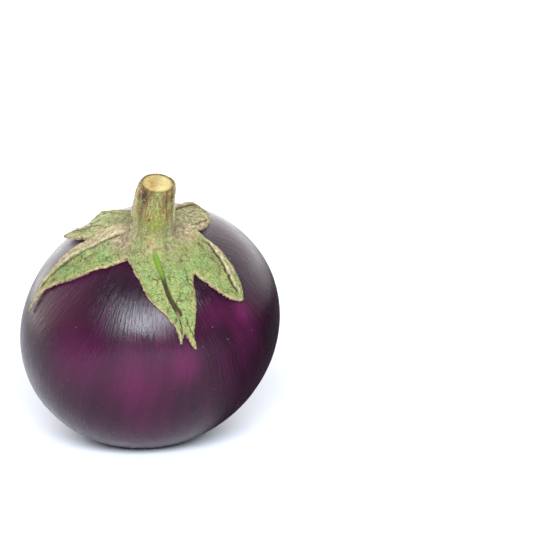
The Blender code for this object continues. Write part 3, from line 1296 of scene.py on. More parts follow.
LOBES = (
    Lobe(  # front, first point of its forked tip
        ((-17, 23), (-6, 28.5), (1, 34), (8, 38.5), (14, 43), (17, 46.5), (18.3, 50)),
        (19, 54),
        (),
        (21.8, 50.0),
        0.5 * MM,
        columns=72,
    ),
    Lobe(  # front, second point
        ((23.5, 53.0),),
        (26, 57.5),
        ((27, 52), (29.5, 47), (33, 42), (36.5, 37), (40, 32.5), (44, 29)),
        (48, 27),
        0.5 * MM,
        columns=44,
    ),
    Lobe(  # right front
        ((51, 32), (53, 36), (55, 40), (57, 43.5), (60, 47)),
        (65, 50),
        ((70, 47.5), (75.5, 43), (80, 39.5), (84, 36.5), (89, 33.5), (94, 30.5), (101, 25)),
        (115, 22),
        0.6 * MM,
        columns=76,
        tip_half_width=0.9,
    ),
    Lobe(  # right back
        ((119, 26), (125, 30.5), (132, 35), (138, 38), (142, 40.5), (145.5, 40.8), (149, 41.8)),
        (153, 43),
        ((157.5, 41.5), (160.5, 37.5), (162.5, 33), (165.5, 28.5)),
        (172, 24),
        0.2 * MM,
        columns=60,
        tip_half_width=1.2,
    ),
    Lobe(  # back, behind the stalk
        ((176, 31), (180, 38), (184, 45)),
        (187, 51),
        ((190, 45), (194, 38), (199, 31)),
        (205, 26),
        0.8 * MM,
        columns=32,
    ),
    Lobe(  # left back, upper point
        ((210, 32), (215, 38)),
        (221, 42.8),
        ((228, 41.8), (236, 40.5)),
        (240, 34),
        0.8 * MM,
        columns=36,
        tip_half_width=0.8,
    ),
    Lobe(  # left back, lower point
        ((241, 39.5), (243, 45.5)),
        (248.8, 50),
        ((252, 46), (254.8, 41), (257, 36.5)),
        (262, 30),
        1.3 * MM,
        columns=40,
    ),
    Lobe(  # left front, the longest, whose tip has dried to a thread
        ((265, 34), (268.5, 39.5), (273.3, 45.3), (277.8, 51))
        + ((281, 55.5), (282.8, 59.5), (284.5, 64)),
        (287.2, 70),
        ((287.3, 65), (286.3, 61), (286.3, 57.5), (288.2, 53.5), (290.8, 49.3))
        + ((296, 43), (300, 37), (303, 32), (310, 27)),
        (324, 18),
        0.4 * MM,
        columns=72,
        tip_half_width=0.7,
        withered=0.5,
    ),
)


class Side(Enum):
    """Which side of a fold's path stands up, looking from the crown to the lobe's tip."""

    NONE = 0
    LEFT = 1
    RIGHT = -1


class Line(Enum):
    """What a groove's line is coloured as: a mask that the calyx's material reads."""

    # dark line: a crack, and painted shadow in grooves beside raised strips
    CRACK_AND_SHADOW = "crack_and_shadow"
    BROWN = "brown"


@dataclass(frozen=True)
class Fold:
    """A groove in the calyx, with or without a raised strip along one side of it."""

    path: tuple[tuple[float, float], ...]  # azimuth and reach of each knot
    width: float  # half-width of the groove
    depth: float
    raised: Side = Side.NONE
    raise_height: float = 0.0
    strip_width: float = 0.0
    line: Line = Line.CRACK_AND_SHADOW


FOLDS = (
    Fold(
        ((-98, 11), (-91.5, 15.5), (-87, 20), (-84.5, 25), (-83, 30), (-81.8, 35), (-80.5, 40))
        + ((-79.3, 45.7), (-78.2, 50.5), (-76.8, 55), (-75, 61)),
        0.3 * MM,
        0.8 * MM,
        Side.RIGHT,
        0.6 * MM,
        6.2 * MM,
    ),
    Fold(
        ((99, 22), (92, 26.2), (84, 29.6), (79.5, 32), (75.9, 34.4), (70.8, 38), (67.5, 41.5))
        + ((65.6, 45), (64.6, 47.8)),
        0.32 * MM,
        0.95 * MM,
        Side.LEFT,
        0.4 * MM,
        1.3 * MM,
    ),
    Fold(((20, 43), (21, 47), (20, 51)), 0.16 * MM, 0.35 * MM),
    Fold(((24, 43), (25.5, 48), (26.2, 54)), 0.16 * MM, 0.35 * MM),
    Fold(((-79, 32), (-76, 34.5), (-72, 36)), 0.14 * MM, 0.25 * MM),
    Fold(((-16, 24), (-7, 28), (-2, 31), (3, 34.5), (8, 37)), 0.12 * MM, 0.2 * MM, line=Line.BROWN),
    Fold(((40, 26), (37, 29), (39, 33), (34, 35)), 0.12 * MM, 0.2 * MM),
    Fold(((65, 26), (63, 31), (62, 35)), 0.12 * MM, 0.2 * MM, line=Line.BROWN),
    Fold(
        ((163, 19), (159, 26), (156.5, 32), (154, 37), (150.5, 40.5)),
        0.24 * MM,
        0.7 * MM,
        Side.LEFT,
        0.6 * MM,
        1.5 * MM,
    ),
    Fold(
        ((120, 19), (125, 23), (128, 26.5), (129, 30), (131, 33.5)),
        0.3 * MM,
        0.6 * MM,
        Side.LEFT,
        0.35 * MM,
        0.9 * MM,
        Line.BROWN,
    ),
    Fold(((140, 22), (141, 26), (137, 29), (140, 34)), 0.25 * MM, 0.35 * MM, line=Line.BROWN),
    Fold(((148, 24), (146, 30), (149, 36)), 0.25 * MM, 0.3 * MM, line=Line.BROWN),
    Fold(
        ((241, 29), (243, 35), (245, 40), (246.5, 45)),
        0.24 * MM,
        0.6 * MM,
        Side.RIGHT,
        0.45 * MM,
        1.0 * MM,
    ),
    Fold(((186, 20), (187, 30), (187, 44)), 0.3 * MM, 0.4 * MM, line=Line.BROWN),
    Fold(((214, 20), (218, 30), (220, 40)), 0.22 * MM, 0.35 * MM, line=Line.BROWN),
    Fold(((246, 24), (247, 34), (248, 45)), 0.22 * MM, 0.35 * MM, line=Line.BROWN),
)

SLIT = Fold(((7, 12.5), (11, 17), (14, 22), (15.5, 29), (18, 36), (22, 43)), 0.92 * MM, 0.75 * MM)
SLIT_LIP = 0.15 * MM  # height of its rolled edges
# Share of the slit's length, and its width there as a share of the whole width
SLIT_SHAPE = ((0, 0.2), (0.06, 1.0), (0.5, 0.8), (0.8, 0.9), (0.96, 1.15), (1, 0.7))

# Patches on the shoulder, by what colours them
DRY_PATCHES = (
    Patch(140.0, 37.0, 9.0, 1.0),
    Patch(126.0, 25.0, 8.0, 1.0),
    Patch(155.0, 25.0, 10.0, 0.4),
    Patch(187.0, 35.0, 18.0, 0.9),
    Patch(248.0, 46.0, 5.0, 0.6),
    Patch(-74.0, 64.0, 7.0, 1.3),
    Patch(112.0, 17.0, 5.0, 0.8),
    Patch(-98.0, 17.0, 8.0, 0.7),
    Patch(92.0, 29.5, 3.4, 1.0),
    Patch(84.0, 33.5, 3.2, 1.0),
    Patch(76.5, 38.5, 2.6, 0.7),
)
PALE_PATCHES = (
    Patch(225.0, 36.0, 14.0, 0.9),
    Patch(248.0, 36.0, 12.0, 0.9),
    Patch(262.0, 25.0, 8.0, 0.6),
)
TAN_PATCHES = (Patch(98.0, 18.6, 2.3, 1.0), Patch(8.0, 9.0, 5.0, 0.3))
FRESH_PATCHES = (Patch(60.0, 16.5, 1.5, 1.2),)
LUSH_PATCHES = (Patch(-62.0, 22.0, 9.0, 1.0), Patch(-30.0, 23.0, 7.0, 0.6))
DARK_SCURF = (
    Patch(-86.0, 14.0, 4.2, 1.0),
    Patch(-60.0, 15.0, 4.5, 0.7),
    Patch(118.0, 13.5, 4.0, 1.0),
    Patch(90.0, 13.0, 4.0, 0.7),
    Patch(0.0, 12.0, 2.5, 0.5),
)
BROWN_PATCHES = (
    Patch(76.0, 29.0, 2.0, 0.9),
    Patch(73.5, 32.0, 1.5, 0.8),
    Patch(35.0, 36.0, 2.0, 0.5),
    Patch(-5.0, 30.0, 1.6, 0.5),
    Patch(150.0, 40.0, 3.0, 0.8),
    Patch(-72.0, 62.0, 1.5, 0.8),
    Patch(-71.5, 68.0, 1.5, 0.8),
    Patch(20.0, 24.0, 1.2, 0.7),
    Patch(35.0, 22.0, 1.6, 0.6),
)


@dataclass
class LobeGrid:
    """Azimuth and reach of one lobe's sheet, and the outline that bounds it on the map."""

    azimuth: Array
    reach: Array
    outline: Array
    rise: Array  # 0 up to the notches, 1 at the tip


@dataclass
class Sheet:
    """One lobe's two sides, and what its hairs need to know."""

    above: Surface
    below: Surface
    top: Array  # the upper side's points, collar left out
    hairy: Array  # how densely hairs stand, 0 in the slit
    first_row: int  # row of the later of the two notches

    def area(self) -> float:
        """Area of the upper side, from the cross product of each cell's two sides.

        Returns:
            Square metres.
        """
        down = self.top[1:, :-1] - self.top[:-1, :-1]
        right = self.top[:-1, 1:] - self.top[:-1, :-1]
        return float(np.linalg.norm(np.cross(down, right), axis=-1).sum())

    def margins(self) -> tuple[Array, Array, Array]:
        """The two margins, from the later notch to the tip.

        Returns:
            Points, directions outward in the sheet, and normals.
        """
        top = self.top[self.first_row :]
        points = np.concatenate([top[:, 0], top[:, -1]])
        outward = np.concatenate([top[:, 0] - top[:, 3], top[:, -1] - top[:, -4]])
        down = np.gradient(top, axis=0)
        along = np.concatenate([down[:, 0], -down[:, -1]])
        normals = unit(np.cross(outward, along))
        return points, unit(outward), normals


@dataclass(frozen=True)
class Calyx:
    """The calyx: a star-shaped sheet that grips the shoulder and climbs the stalk."""

    form: FruitForm
    stalk: StemForm
    collar_rows: int = 34
    rows: int = 130
    collar_reach: float = 16.0
    collar_height: float = 8.0 * MM  # how far it climbs the stalk
    collar_inner_reach: float = 7.0
    collar_lush: float = 0.5  # how green it is where it leaves the stalk
    full_reach: float = 55.0  # reach that the rows are spaced for
    thick: float = 1.35 * MM
    crown_thick: float = 0.9 * MM  # extra towards the stalk
    crown_reach: tuple[float, float] = (30.0, 14.0)  # where the extra begins and is full
    edge_round: float = 0.8 * MM  # distance to the margin at which its rounding begins
    edge_middle: float = 0.62 * MM  # height of the margin's middle over the skin
    underside: float = 0.12 * MM  # gap under the sheet
    map_scale: float = 0.72 * MM  # metres of skin for each degree of reach
    fold_points: int = 90
    slit_points: int = 120
    fold_range: float = 8 * MM  # farthest that a groove is felt
    fold_wander: tuple[float, float] = (3.0, 0.18)  # wavelength and height, in degrees
    wobbles: tuple[tuple[float, float, int], ...] = (
        # of the outline: wavelength and height in degrees, and shift of the seed
        (4.5, 0.2, 0),
        (1.6, 0.1, 50),
    )
    puckers: tuple[tuple[float, float, int], ...] = (
        # of the upper side: wavelength, height and seed
        (5 * MM, 0.16 * MM, 61),
        (1.6 * MM, 0.07 * MM, 62),
    )
    lush_edge: tuple[float, float] = (1.0 * MM, 3.0 * MM)  # from the margin: no green, full green
    lush_reach: tuple[float, float] = (18.0, 26.0)
    margin_width: tuple[float, float] = (0.65 * MM, 0.2 * MM)  # no brown, full brown
    scurf_reach: tuple[float, float] = (23.0, 13.0)  # no scurf, full scurf

    def line_rows(self, reach: float) -> int:
        """How many rows of the sheet lie between the collar and a notch."""
        share = (reach - self.collar_reach) / (self.full_reach - self.collar_reach)
        return max(2, round(self.rows * share))

    def boundary(
        self,
        lobe: Lobe,
        start: tuple[float, float],
        knots: tuple[tuple[float, float], ...],
        tip: float,
        seed: int,
    ) -> Array:
        """One side of a lobe on the flat map, from the collar to the notch and on to the tip.

        Args:
            lobe: the lobe.
            start: the notch that the side starts from.
            knots: places between the notch and the tip.
            tip: -1 or 1, the side of the tip that it ends on.
            seed: of the small wobble.

        Returns:
            Points on the map, in degrees, one for each row of the sheet.
        """
        inner = self.line_rows(start[1])
        line = np.linspace(self.collar_reach, start[1], inner + 1)[:-1]
        straight = on_map(np.full(inner, start[0]), line)
        places = np.array([start, *knots, lobe.tip], dtype=float)
        flat = on_map(places[:, 0], places[:, 1])
        heading = flat[-1] / np.linalg.norm(flat[-1])
        flat[-1] += tip * lobe.tip_half_width * np.array([-heading[1], heading[0]])
        curve = smooth_path(flat, self.rows - inner + 1)
        along = np.linspace(0.0, 1.0, len(curve))
        across = unit(np.gradient(curve, axis=0))[:, ::-1] * np.array([1.0, -1.0])
        wobble = sum(
            height * Ripples(length, seed + shift).at(curve)
            for length, height, shift in self.wobbles
        )
        wobble = wobble * ease(0.0, 0.12, along) * ease(1.0, 0.85, along)
        return np.concatenate([straight, curve + across * wobble[:, None]])

    def lobe_grid(self, before: Lobe, lobe: Lobe, seed: int) -> LobeGrid:
        """Azimuth and reach over one lobe, row by row from the collar to the tip.

        Both sides are turned into azimuth and reach about the lobe's tip, and each row runs
        evenly from one to the other, with closer points near the margins.

        Args:
            before: the lobe before this one, whose notch it starts from.
            lobe: the lobe.
            seed: of its outline's wobble.

        Returns:
            The grid.
        """
        reverse = tuple(reversed(lobe.after))
        sides = [
            self.boundary(lobe, before.notch, lobe.before, -1.0, seed),
            self.boundary(lobe, lobe.notch, reverse, 1.0, seed + 7),
        ]
        middle = math.radians(lobe.tip[0])
        azimuths, reaches = [], []
        for side in sides:
            turn = np.arctan2(side[:, 0], -side[:, 1]) - middle
            turn = (turn + math.pi) % (2 * math.pi) - math.pi
            azimuths.append(np.degrees(turn + middle))
            reaches.append(np.linalg.norm(side, axis=1))
        even = np.linspace(0.0, 1.0, lobe.columns + 1)
        share = 0.55 * even + 0.45 * (0.5 - 0.5 * np.cos(math.pi * even))
        azimuth = azimuths[0][:, None] * (1 - share) + azimuths[1][:, None] * share
        reach = reaches[0][:, None] * (1 - share) + reaches[1][:, None] * share
        inner = [self.line_rows(before.notch[1]), self.line_rows(lobe.notch[1])]
        outline = np.concatenate([sides[0][inner[0] :], sides[1][inner[1] :][::-1]])
        row = np.arange(self.rows + 1)[:, None]
        rise = np.clip((row - max(inner)) / (self.rows - max(inner)), 0.0, 1.0)
        return LobeGrid(azimuth, reach, outline, rise + 0 * share)

    def nearest(self, path: Array, places: Array) -> tuple[Array, Array, Array]:
        """Distance in metres from each place to a path, its side, and how far along.

        Args:
            path: points on the map, in degrees.
            places: points on the map, in degrees, in the last axis.

        Returns:
            Distance, side (positive on the left of the path's heading), share of the path.
        """
        flat = places.reshape(-1, 2)
        gaps = flat[:, None, :] - path[None, :, :]
        squares = (gaps**2).sum(axis=-1)
        closest = squares.argmin(axis=1)
        rows = np.arange(len(flat))
        heading = np.gradient(path, axis=0)[closest]
        gap = gaps[rows, closest]
        side = np.sign(heading[:, 0] * gap[:, 1] - heading[:, 1] * gap[:, 0])
        distance = np.sqrt(squares[rows, closest]) * self.map_scale
        shape = places.shape[:-1]
        share = closest / (len(path) - 1)
        return distance.reshape(shape), side.reshape(shape), share.reshape(shape)

    def folded(self, fold: Fold, places: Array) -> tuple[Array, Array, Array]:
        """One fold: a groove along a slightly wandering path, and the strip beside it.

        The groove is a bell of the distance to the path. The strip is a smooth step up from
        the groove's side, which ends at the strip's width. Both fade out at the path's ends.

        Args:
            fold: the fold.
            places: points on the map, in degrees.

        Returns:
            Height to add to the sheet, mask of the groove's line, mask of the strip.
        """
        path = smooth_path(on_map(*np.array(fold.path, dtype=float).T), self.fold_points)
        length, height = self.fold_wander
        path = path + height * Ripples(length, seed=int(abs(fold.path[0][0]))).at(path)[:, None]
        distance, side, share = self.nearest(path, places)
        ends = ease(0.0, 0.12, share) * ease(1.0, 0.9, share)
        near = ends * (distance < self.fold_range)
        # the groove's dark line: a crack, with painted shadow where a strip stands up beside it
        line = ease(1.5 * fold.width, 0.8 * fold.width, distance) * near
        groove = fold.depth * bell(distance, 0.0, fold.width) * near
        if fold.raised is Side.NONE:
            return -groove, line, np.zeros_like(line)
        signed = distance * side * fold.raised.value
        strip = ease(0.0, 1.2 * fold.width, signed - 0.5 * fold.width)
        strip *= ease(1.3 * fold.strip_width, 0.9 * fold.strip_width, distance) * ends
        return fold.raise_height * strip - groove, line, strip

    def slit(self, places: Array) -> tuple[Array, dict[str, Array]]:
        """The open slit: a flat-bottomed groove of changing width between rolled lips.

        Args:
            places: points on the map, in degrees.

        Returns:
            Height to add to the sheet, and the masks that colour it.
        """
        path = smooth_path(on_map(*np.array(SLIT.path, dtype=float).T), self.slit_points)
        distance, side, share = self.nearest(path, places)
        half = SLIT.width * np.interp(share, *np.array(SLIT_SHAPE).T)
        gap = distance / np.maximum(half, 0.05 * MM)
        beside = share < 0.999
        inside = ease(1.1, 0.75, gap) * (share > 0.0) * beside
        lips = bell(gap, 1.5, 0.4) * ease(0.1, 0.2, share) * (share < 0.98)
        dry_end = ease(0.88, 0.94, share) * ease(-0.2 * MM, 0.1 * MM, -side * distance)
        masks = {
            "slit_fresh": inside * ease(0.5, 0.3, share),
            "slit_dry": inside * ease(0.3, 0.5, share),
            "slit_end": inside * dry_end,
            "bald": ease(1.9, 1.2, gap) * beside,
        }
        return SLIT_LIP * lips - SLIT.depth * inside, masks

    def relief(self, azimuth: Array, reach: Array, edge: Array) -> tuple[Array, dict[str, Array]]:
        """Height of the folds, cracks and puckers, and the masks that colour them.

        Args:
            azimuth: about the crown.
            reach: away from the crown.
            edge: distance to the margin.

        Returns:
            Height to add to the sheet's upper side, and the masks.
        """
        places = on_map(azimuth, reach)
        metres = places * self.map_scale
        height = sum(rise * Ripples(length, seed).at(metres) for length, rise, seed in self.puckers)
        height = height * ease(0.0, 1.5 * MM, edge)
        masks = {name: np.zeros_like(reach) for name in ("crack_and_shadow", "brown", "strip", "bald")}
        for fold in FOLDS:
            rise, line, strip = self.folded(fold, places)
            height = height + rise
            for name, mask in ((fold.line.value, line), ("bald", line), ("strip", strip)):
                masks[name] = np.maximum(masks[name], mask)
        rise, slit = self.slit(places)
        height = height + rise
        masks["bald"] = np.maximum(masks["bald"], slit.pop("bald"))
        masks |= slit
        fresh = np.clip(patched(FRESH_PATCHES, places), 0.0, 1.0)
        masks["slit_fresh"] = np.maximum(masks["slit_fresh"], fresh)
        patches = {"dry": DRY_PATCHES, "pale": PALE_PATCHES, "tan": TAN_PATCHES}
        patches |= {"dark_scurf": DARK_SCURF, "brown": BROWN_PATCHES}
        for name, spots in patches.items():
            masks[name] = np.clip(masks.get(name, 0.0) + patched(spots, places), 0.0, 1.0)
        lush = ease(*self.lush_edge, edge) * ease(*self.lush_reach, reach)
        lush += 0.4 * Ripples(6 * MM, seed=66).at(metres) + patched(LUSH_PATCHES, places)
        masks["lush"] = np.clip(lush, 0.0, 1.0)
        masks["margin"] = ease(*self.margin_width, edge)
        flanks = 0.55 - 0.45 * np.cos(np.radians(2 * azimuth))
        masks["base_scurf"] = np.clip(ease(*self.scurf_reach, reach) * flanks, 0.0, 1.0)
        return height, masks

    def sheet(self, index: int, grids: list[LobeGrid]) -> Sheet:
        """Upper and lower surface of one lobe, collar included.

        On the collar a point moves from the stalk's surface, at a height that falls to the
        foot, to the sheet's, weighted by a smooth step, which makes a hollow fillet. Past it,
        the upper side stands a rounded edge's height above the skin,
        middle + (thick - middle) sqrt(1 - (1 - d / r)^2), d being the distance to the margin.

        Args:
            index: the lobe's number.
            grids: all lobes' grids.

        Returns:
            The lobe's sheet, whose two sides share their margin.
        """
        grid = grids[index]
        count = len(grids)
        outline = np.concatenate([grids[(index + k) % count].outline for k in (-1, 0, 1)])
        places = on_map(grid.azimuth, grid.reach)
        edge, _, _ = self.nearest(outline, places)
        height, masks = self.relief(grid.azimuth, grid.reach, edge)
        inwards = np.clip(1 - edge / self.edge_round, 0.0, 1.0)
        rounding = np.sqrt(1 - inwards**2)
        thick = self.thick + self.crown_thick * ease(*self.crown_reach, grid.reach)
        thick = thick * (1 - LOBES[index].withered * ease(0.7, 0.95, grid.rise))
        lift = LOBES[index].lift * grid.rise**1.6
        upper = self.edge_middle + (thick - self.edge_middle + height) * rounding
        lower = self.edge_middle * (1 - rounding) + self.underside
        on_margin = edge < 1e-6
        upper = np.where(on_margin, self.edge_middle, upper)
        lower = np.where(on_margin, self.edge_middle, lower)
        top, _ = self.form.skin(grid.azimuth, grid.reach, upper + lift)
        collar, collar_masks = self.collar(grid)
        for name in masks:
            masks[name] = np.concatenate([collar_masks[name], masks[name][1:]])
        top = np.concatenate([collar, top[1:]])
        picks = self.lower_columns(top.shape[1])
        bottom, _ = self.form.skin(
            grid.azimuth[:, picks], grid.reach[:, picks], (lower + lift)[:, picks]
        )
        flat = {name: values.reshape(-1) for name, values in masks.items()}
        above = Surface(top.reshape(-1, 3), grid_faces(*top.shape[:2])[:, ::-1], flat)
        bare = {name: np.zeros(bottom.shape[0] * bottom.shape[1]) for name in masks}
        below = Surface(bottom.reshape(-1, 3), grid_faces(*bottom.shape[:2]), bare)
        hairy = 0.35 + masks["base_scurf"] + masks["strip"] + masks["dry"] + masks["margin"]
        hairy = np.clip(hairy, 0.0, 1.0) * (1 - masks["bald"])
        rows = self.collar_rows // 2
        first_row = int((grid.rise[:, 0] <= 0).sum()) + self.collar_rows - rows
        return Sheet(above, below, top[rows:], hairy[rows:], first_row)

    def lower_columns(self, columns: int) -> Array:
        """The few columns that the hidden lower side keeps: closer together at its margins.

        Args:
            columns: how many the upper side has.

        Returns:
            Their numbers, among the upper side's.
        """
        last = columns - 1
        middle = np.round(np.linspace(8, last - 8, 5)).astype(int)
        return np.concatenate([[0, 2, 4], middle, [last - 4, last - 2, last]])

    def collar(self, grid: LobeGrid) -> tuple[Array, dict[str, Array]]:
        """The hollow fillet from the stalk out to the sheet, over one lobe's azimuths.

        Args:
            grid: the lobe's grid, whose first row the fillet ends at.

        Returns:
            Points, and the masks that colour them.
        """
        share = np.linspace(0.0, 1.0, self.collar_rows + 1)[:, None]
        azimuth = grid.azimuth[0][None, :] + 0 * share
        along = self.collar_height * (1 - share) + 0 * azimuth
        on_stalk = self.stalk.point(azimuth, along, self.stalk.radius(azimuth, along))
        reach = self.collar_inner_reach
        reach = reach + (self.collar_reach - reach) * share + 0 * azimuth
        lumps, masks = self.relief(azimuth, reach, np.full_like(reach, 5 * MM))
        thick = self.thick + self.crown_thick * ease(*self.crown_reach, reach) + lumps
        on_sheet, _ = self.form.skin(azimuth, reach, thick)
        weight = ease(0.0, 1.0, share)[..., None]
        masks["lush"] = masks["lush"] * share + self.collar_lush * (1 - share)
        return on_stalk * (1 - weight) + on_sheet * weight, masks

    @cache
    def sheets(self) -> tuple[Sheet, ...]:
        """All lobes' sheets, worked out once.

        Returns:
            One for each lobe, in their order.
        """
        pairs = zip(LOBES[-1:] + LOBES[:-1], LOBES)
        grids = [self.lobe_grid(a, b, seed=100 + i) for i, (a, b) in enumerate(pairs)]
        return tuple(self.sheet(i, grids) for i in range(len(grids)))

    def build(self) -> list[bpy.types.Object]:
        """Makes the calyx, welded between its lobes, and hides the imported one.

        Returns:
            The one piece.
        """
        surfaces = [side for sheet in self.sheets() for side in (sheet.above, sheet.below)]
        piece = joined(surfaces).welded().piece("calyx_lobes", CALYX_TISSUE.material())
        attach(piece, "root")
        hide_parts("calyx")
        return [piece]


# Hairs


@dataclass(frozen=True)
class HairCoat:
    """Star-shaped plant hairs: a few stiff rays that spread from one foot."""

    length: float
    width: float
    rays: int
    low: float  # degrees above the surface, of the flattest ray
    high: float  # and of the steepest
    seed: int
    lengths: tuple[float, float] = (0.5, 1.3)  # shortest and longest ray, as shares
    stray: float = 0.35  # radians that a ray strays from an even spread
    fan: float = 0.6  # and from its tuft's heading, where it has one

    def on(self, feet: Array, normals: Array, heading: Array | None = None) -> Surface:
        """One tuft on each foot.

        Each ray is a slim closed pyramid: three corners around the foot and a tip at a random
        length, elevation and azimuth. With a heading given, the rays fan out around it.

        Args:
            feet: one point a row.
            normals: the surface's unit normal at each foot.
            heading: the tufts' own directions in the surface, or none for all round.

        Returns:
            All tufts as one surface.
        """
        rng = np.random.default_rng(self.seed)
        count = len(feet)
        size = (count, self.rays)
        aside = heading if heading is not None else rng.normal(size=(count, 3))
        aside = unit(aside - (aside * normals).sum(axis=1, keepdims=True) * normals)
        across = np.cross(normals, aside)
        if heading is None:
            turn = np.arange(self.rays) * 2 * math.pi / self.rays + rng.normal(0, self.stray, size)
        else:
            turn = rng.normal(0, self.fan, size)
        rise = np.radians(rng.uniform(self.low, self.high, size))
        flat = np.cos(turn)[..., None] * aside[:, None] + np.sin(turn)[..., None] * across[:, None]
        ray = np.cos(rise)[..., None] * flat + np.sin(rise)[..., None] * normals[:, None]
        reach = self.length * rng.uniform(*self.lengths, size)[..., None]
        side = unit(np.cross(ray, normals[:, None] + 1e-3))
        other = np.cross(ray, side)
        angles = np.radians([0.0, 120.0, 240.0])[:, None]
        ring = np.cos(angles) * side[..., None, :] + np.sin(angles) * other[..., None, :]
        foot = feet[:, None, None, :]
        corners = foot + 0.5 * self.width * ring
        tips = feet[:, None, :] + reach * ray
        points = np.concatenate([corners, tips[..., None, :]], axis=2).reshape(-1, 3)
        pattern = np.array([[0, 1, 3], [1, 2, 3], [2, 0, 3], [0, 2, 1]])  # a pyramid's faces
        starts = 4 * np.arange(count * self.rays)[:, None, None]
        return Surface(points, (starts + pattern).reshape(-1, 3))


def strewn(grid: Array, chance: Array, count: int, seed: int) -> tuple[Array, Array]:
    """Random points on a grid of points, as many for each area as chance says.

    A cell is picked in proportion to its area times its chance, and a point in it is
    corner + s down + t right, for random shares s and t of its two sides.

    Args:
        grid: rows and columns of points.
        chance: relative density at each point of the grid.
        count: how many.
        seed: of the random choice.

    Returns:
        Points and unit normals.
    """
    rng = np.random.default_rng(seed)
    down = grid[1:, :-1] - grid[:-1, :-1]
    right = grid[:-1, 1:] - grid[:-1, :-1]
    normal = np.cross(down, right)
    area = np.linalg.norm(normal, axis=-1)
    weight = (area * chance[:-1, :-1]).ravel()
    total = np.cumsum(weight)
    pick = np.searchsorted(total, rng.uniform(0.0, total[-1], count))
    s, t = rng.uniform(size=(2, count, 1))
    corner = grid[:-1, :-1].reshape(-1, 3)[pick]
    points = corner + s * down.reshape(-1, 3)[pick] + t * right.reshape(-1, 3)[pick]
    normals = normal.reshape(-1, 3)[pick] / area.reshape(-1, 1)[pick]
    return points, normals


@dataclass(frozen=True)
class Hairs:
    """Hairs of the calyx, of its margins and of the stalk.

    Real ones are finer than they can be drawn, so these are fewer and stouter.
    """

    calyx: Calyx
    stem: Stem
    calyx_count: int = 4200
    margin_count: int = 1300
    stem_count: int = 1700
    stars: HairCoat = HairCoat(0.36 * MM, 0.08 * MM, 5, 8.0, 50.0, 71)
    fringe: HairCoat = HairCoat(0.45 * MM, 0.09 * MM, 3, -20.0, 30.0, 72)
    bristles: HairCoat = HairCoat(0.5 * MM, 0.09 * MM, 5, 15.0, 65.0, 73)

    def build(self) -> list[bpy.types.Object]:
        """Makes three pieces of hairs, two on the calyx and one on the stem.

        Returns:
            The pieces.
        """
        sheets = self.calyx.sheets()
        areas = np.array([sheet.area() for sheet in sheets])
        shares = np.round(self.calyx_count * areas / areas.sum()).astype(int)
        strewn_on = [
            strewn(sheet.top, sheet.hairy, count, seed=200 + i)
            for i, (sheet, count) in enumerate(zip(sheets, shares))
        ]
        feet, normals = (np.concatenate(part) for part in zip(*strewn_on))
        stars = self.stars.on(feet, normals)
        edges = [sheet.margins() for sheet in sheets]
        feet, outward, normals = (np.concatenate(part) for part in zip(*edges))
        rng = np.random.default_rng(74)
        pick = rng.integers(0, len(feet), self.margin_count)
        fringe = self.fringe.on(feet[pick], normals[pick], outward[pick])
        grid, chance = self.stem.hairy()
        feet, normals = strewn(grid, chance, self.stem_count, seed=75)
        bristles = self.bristles.on(feet, normals)
        green, dry = CALYX_HAIR.material(), STALK_HAIR.material()
        pieces = []
        for name, surface, hair, slot in (
            ("calyx_star_hairs", stars, green, "calyx"),
            ("calyx_margin_fringe", fringe, dry, "calyx"),
            ("stem_bristles", bristles, dry, "stem"),
        ):
            piece = surface.piece(name, hair)
            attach(piece, "root")
            pieces.append(piece)
        return pieces


# Studio


@dataclass(frozen=True)
class SoftBox:
    """Soft-edged window of light aimed at the fruit: three ovals, one inside the other.

    Only gloss sees the smallest, so that it brightens the highlight and not the tissue.
    """

    name: str
    azimuth: float  # that it comes from, from -Y towards +X
    elevation: float
    away: float
    width: float  # of the largest oval
    height: float
    radiance: float  # of the middle, where all three overlap
    colour: tuple[float, float, float] = (0.84, 0.91, 1.0)
    ovals: tuple[tuple[float, bool], ...] = ((1.0, True), (0.78, True), (0.52, False))
    gap: float = 0.002  # between one oval and the next

    def build(self, target: Array) -> None:
        """Adds the three lights.

        An oval's power is pi times its area times a third of the radiance.

        Args:
            target: the point that they aim at.
        """
        a, e = math.radians(self.azimuth), math.radians(self.elevation)
        heading = np.array([math.sin(a) * math.cos(e), -math.cos(a) * math.cos(e), math.sin(e)])
        for order, (share, lights_all) in enumerate(self.ovals):
            data = bpy.data.lights.new(f"{self.name}_{order}", "AREA")
            data.shape = "ELLIPSE"
            data.size, data.size_y = share * self.width, share * self.height
            area = math.pi / 4 * data.size * data.size_y
            data.energy = math.pi * area * self.radiance / len(self.ovals)
            data.color = self.colour
            light = bpy.data.objects.new(data.name, data)
            light.location = target + (self.away - self.gap * order) * heading
            light.rotation_euler = (math.radians(90.0) - e, 0.0, a)
            light.visible_diffuse = lights_all
            bpy.context.scene.collection.objects.link(light)


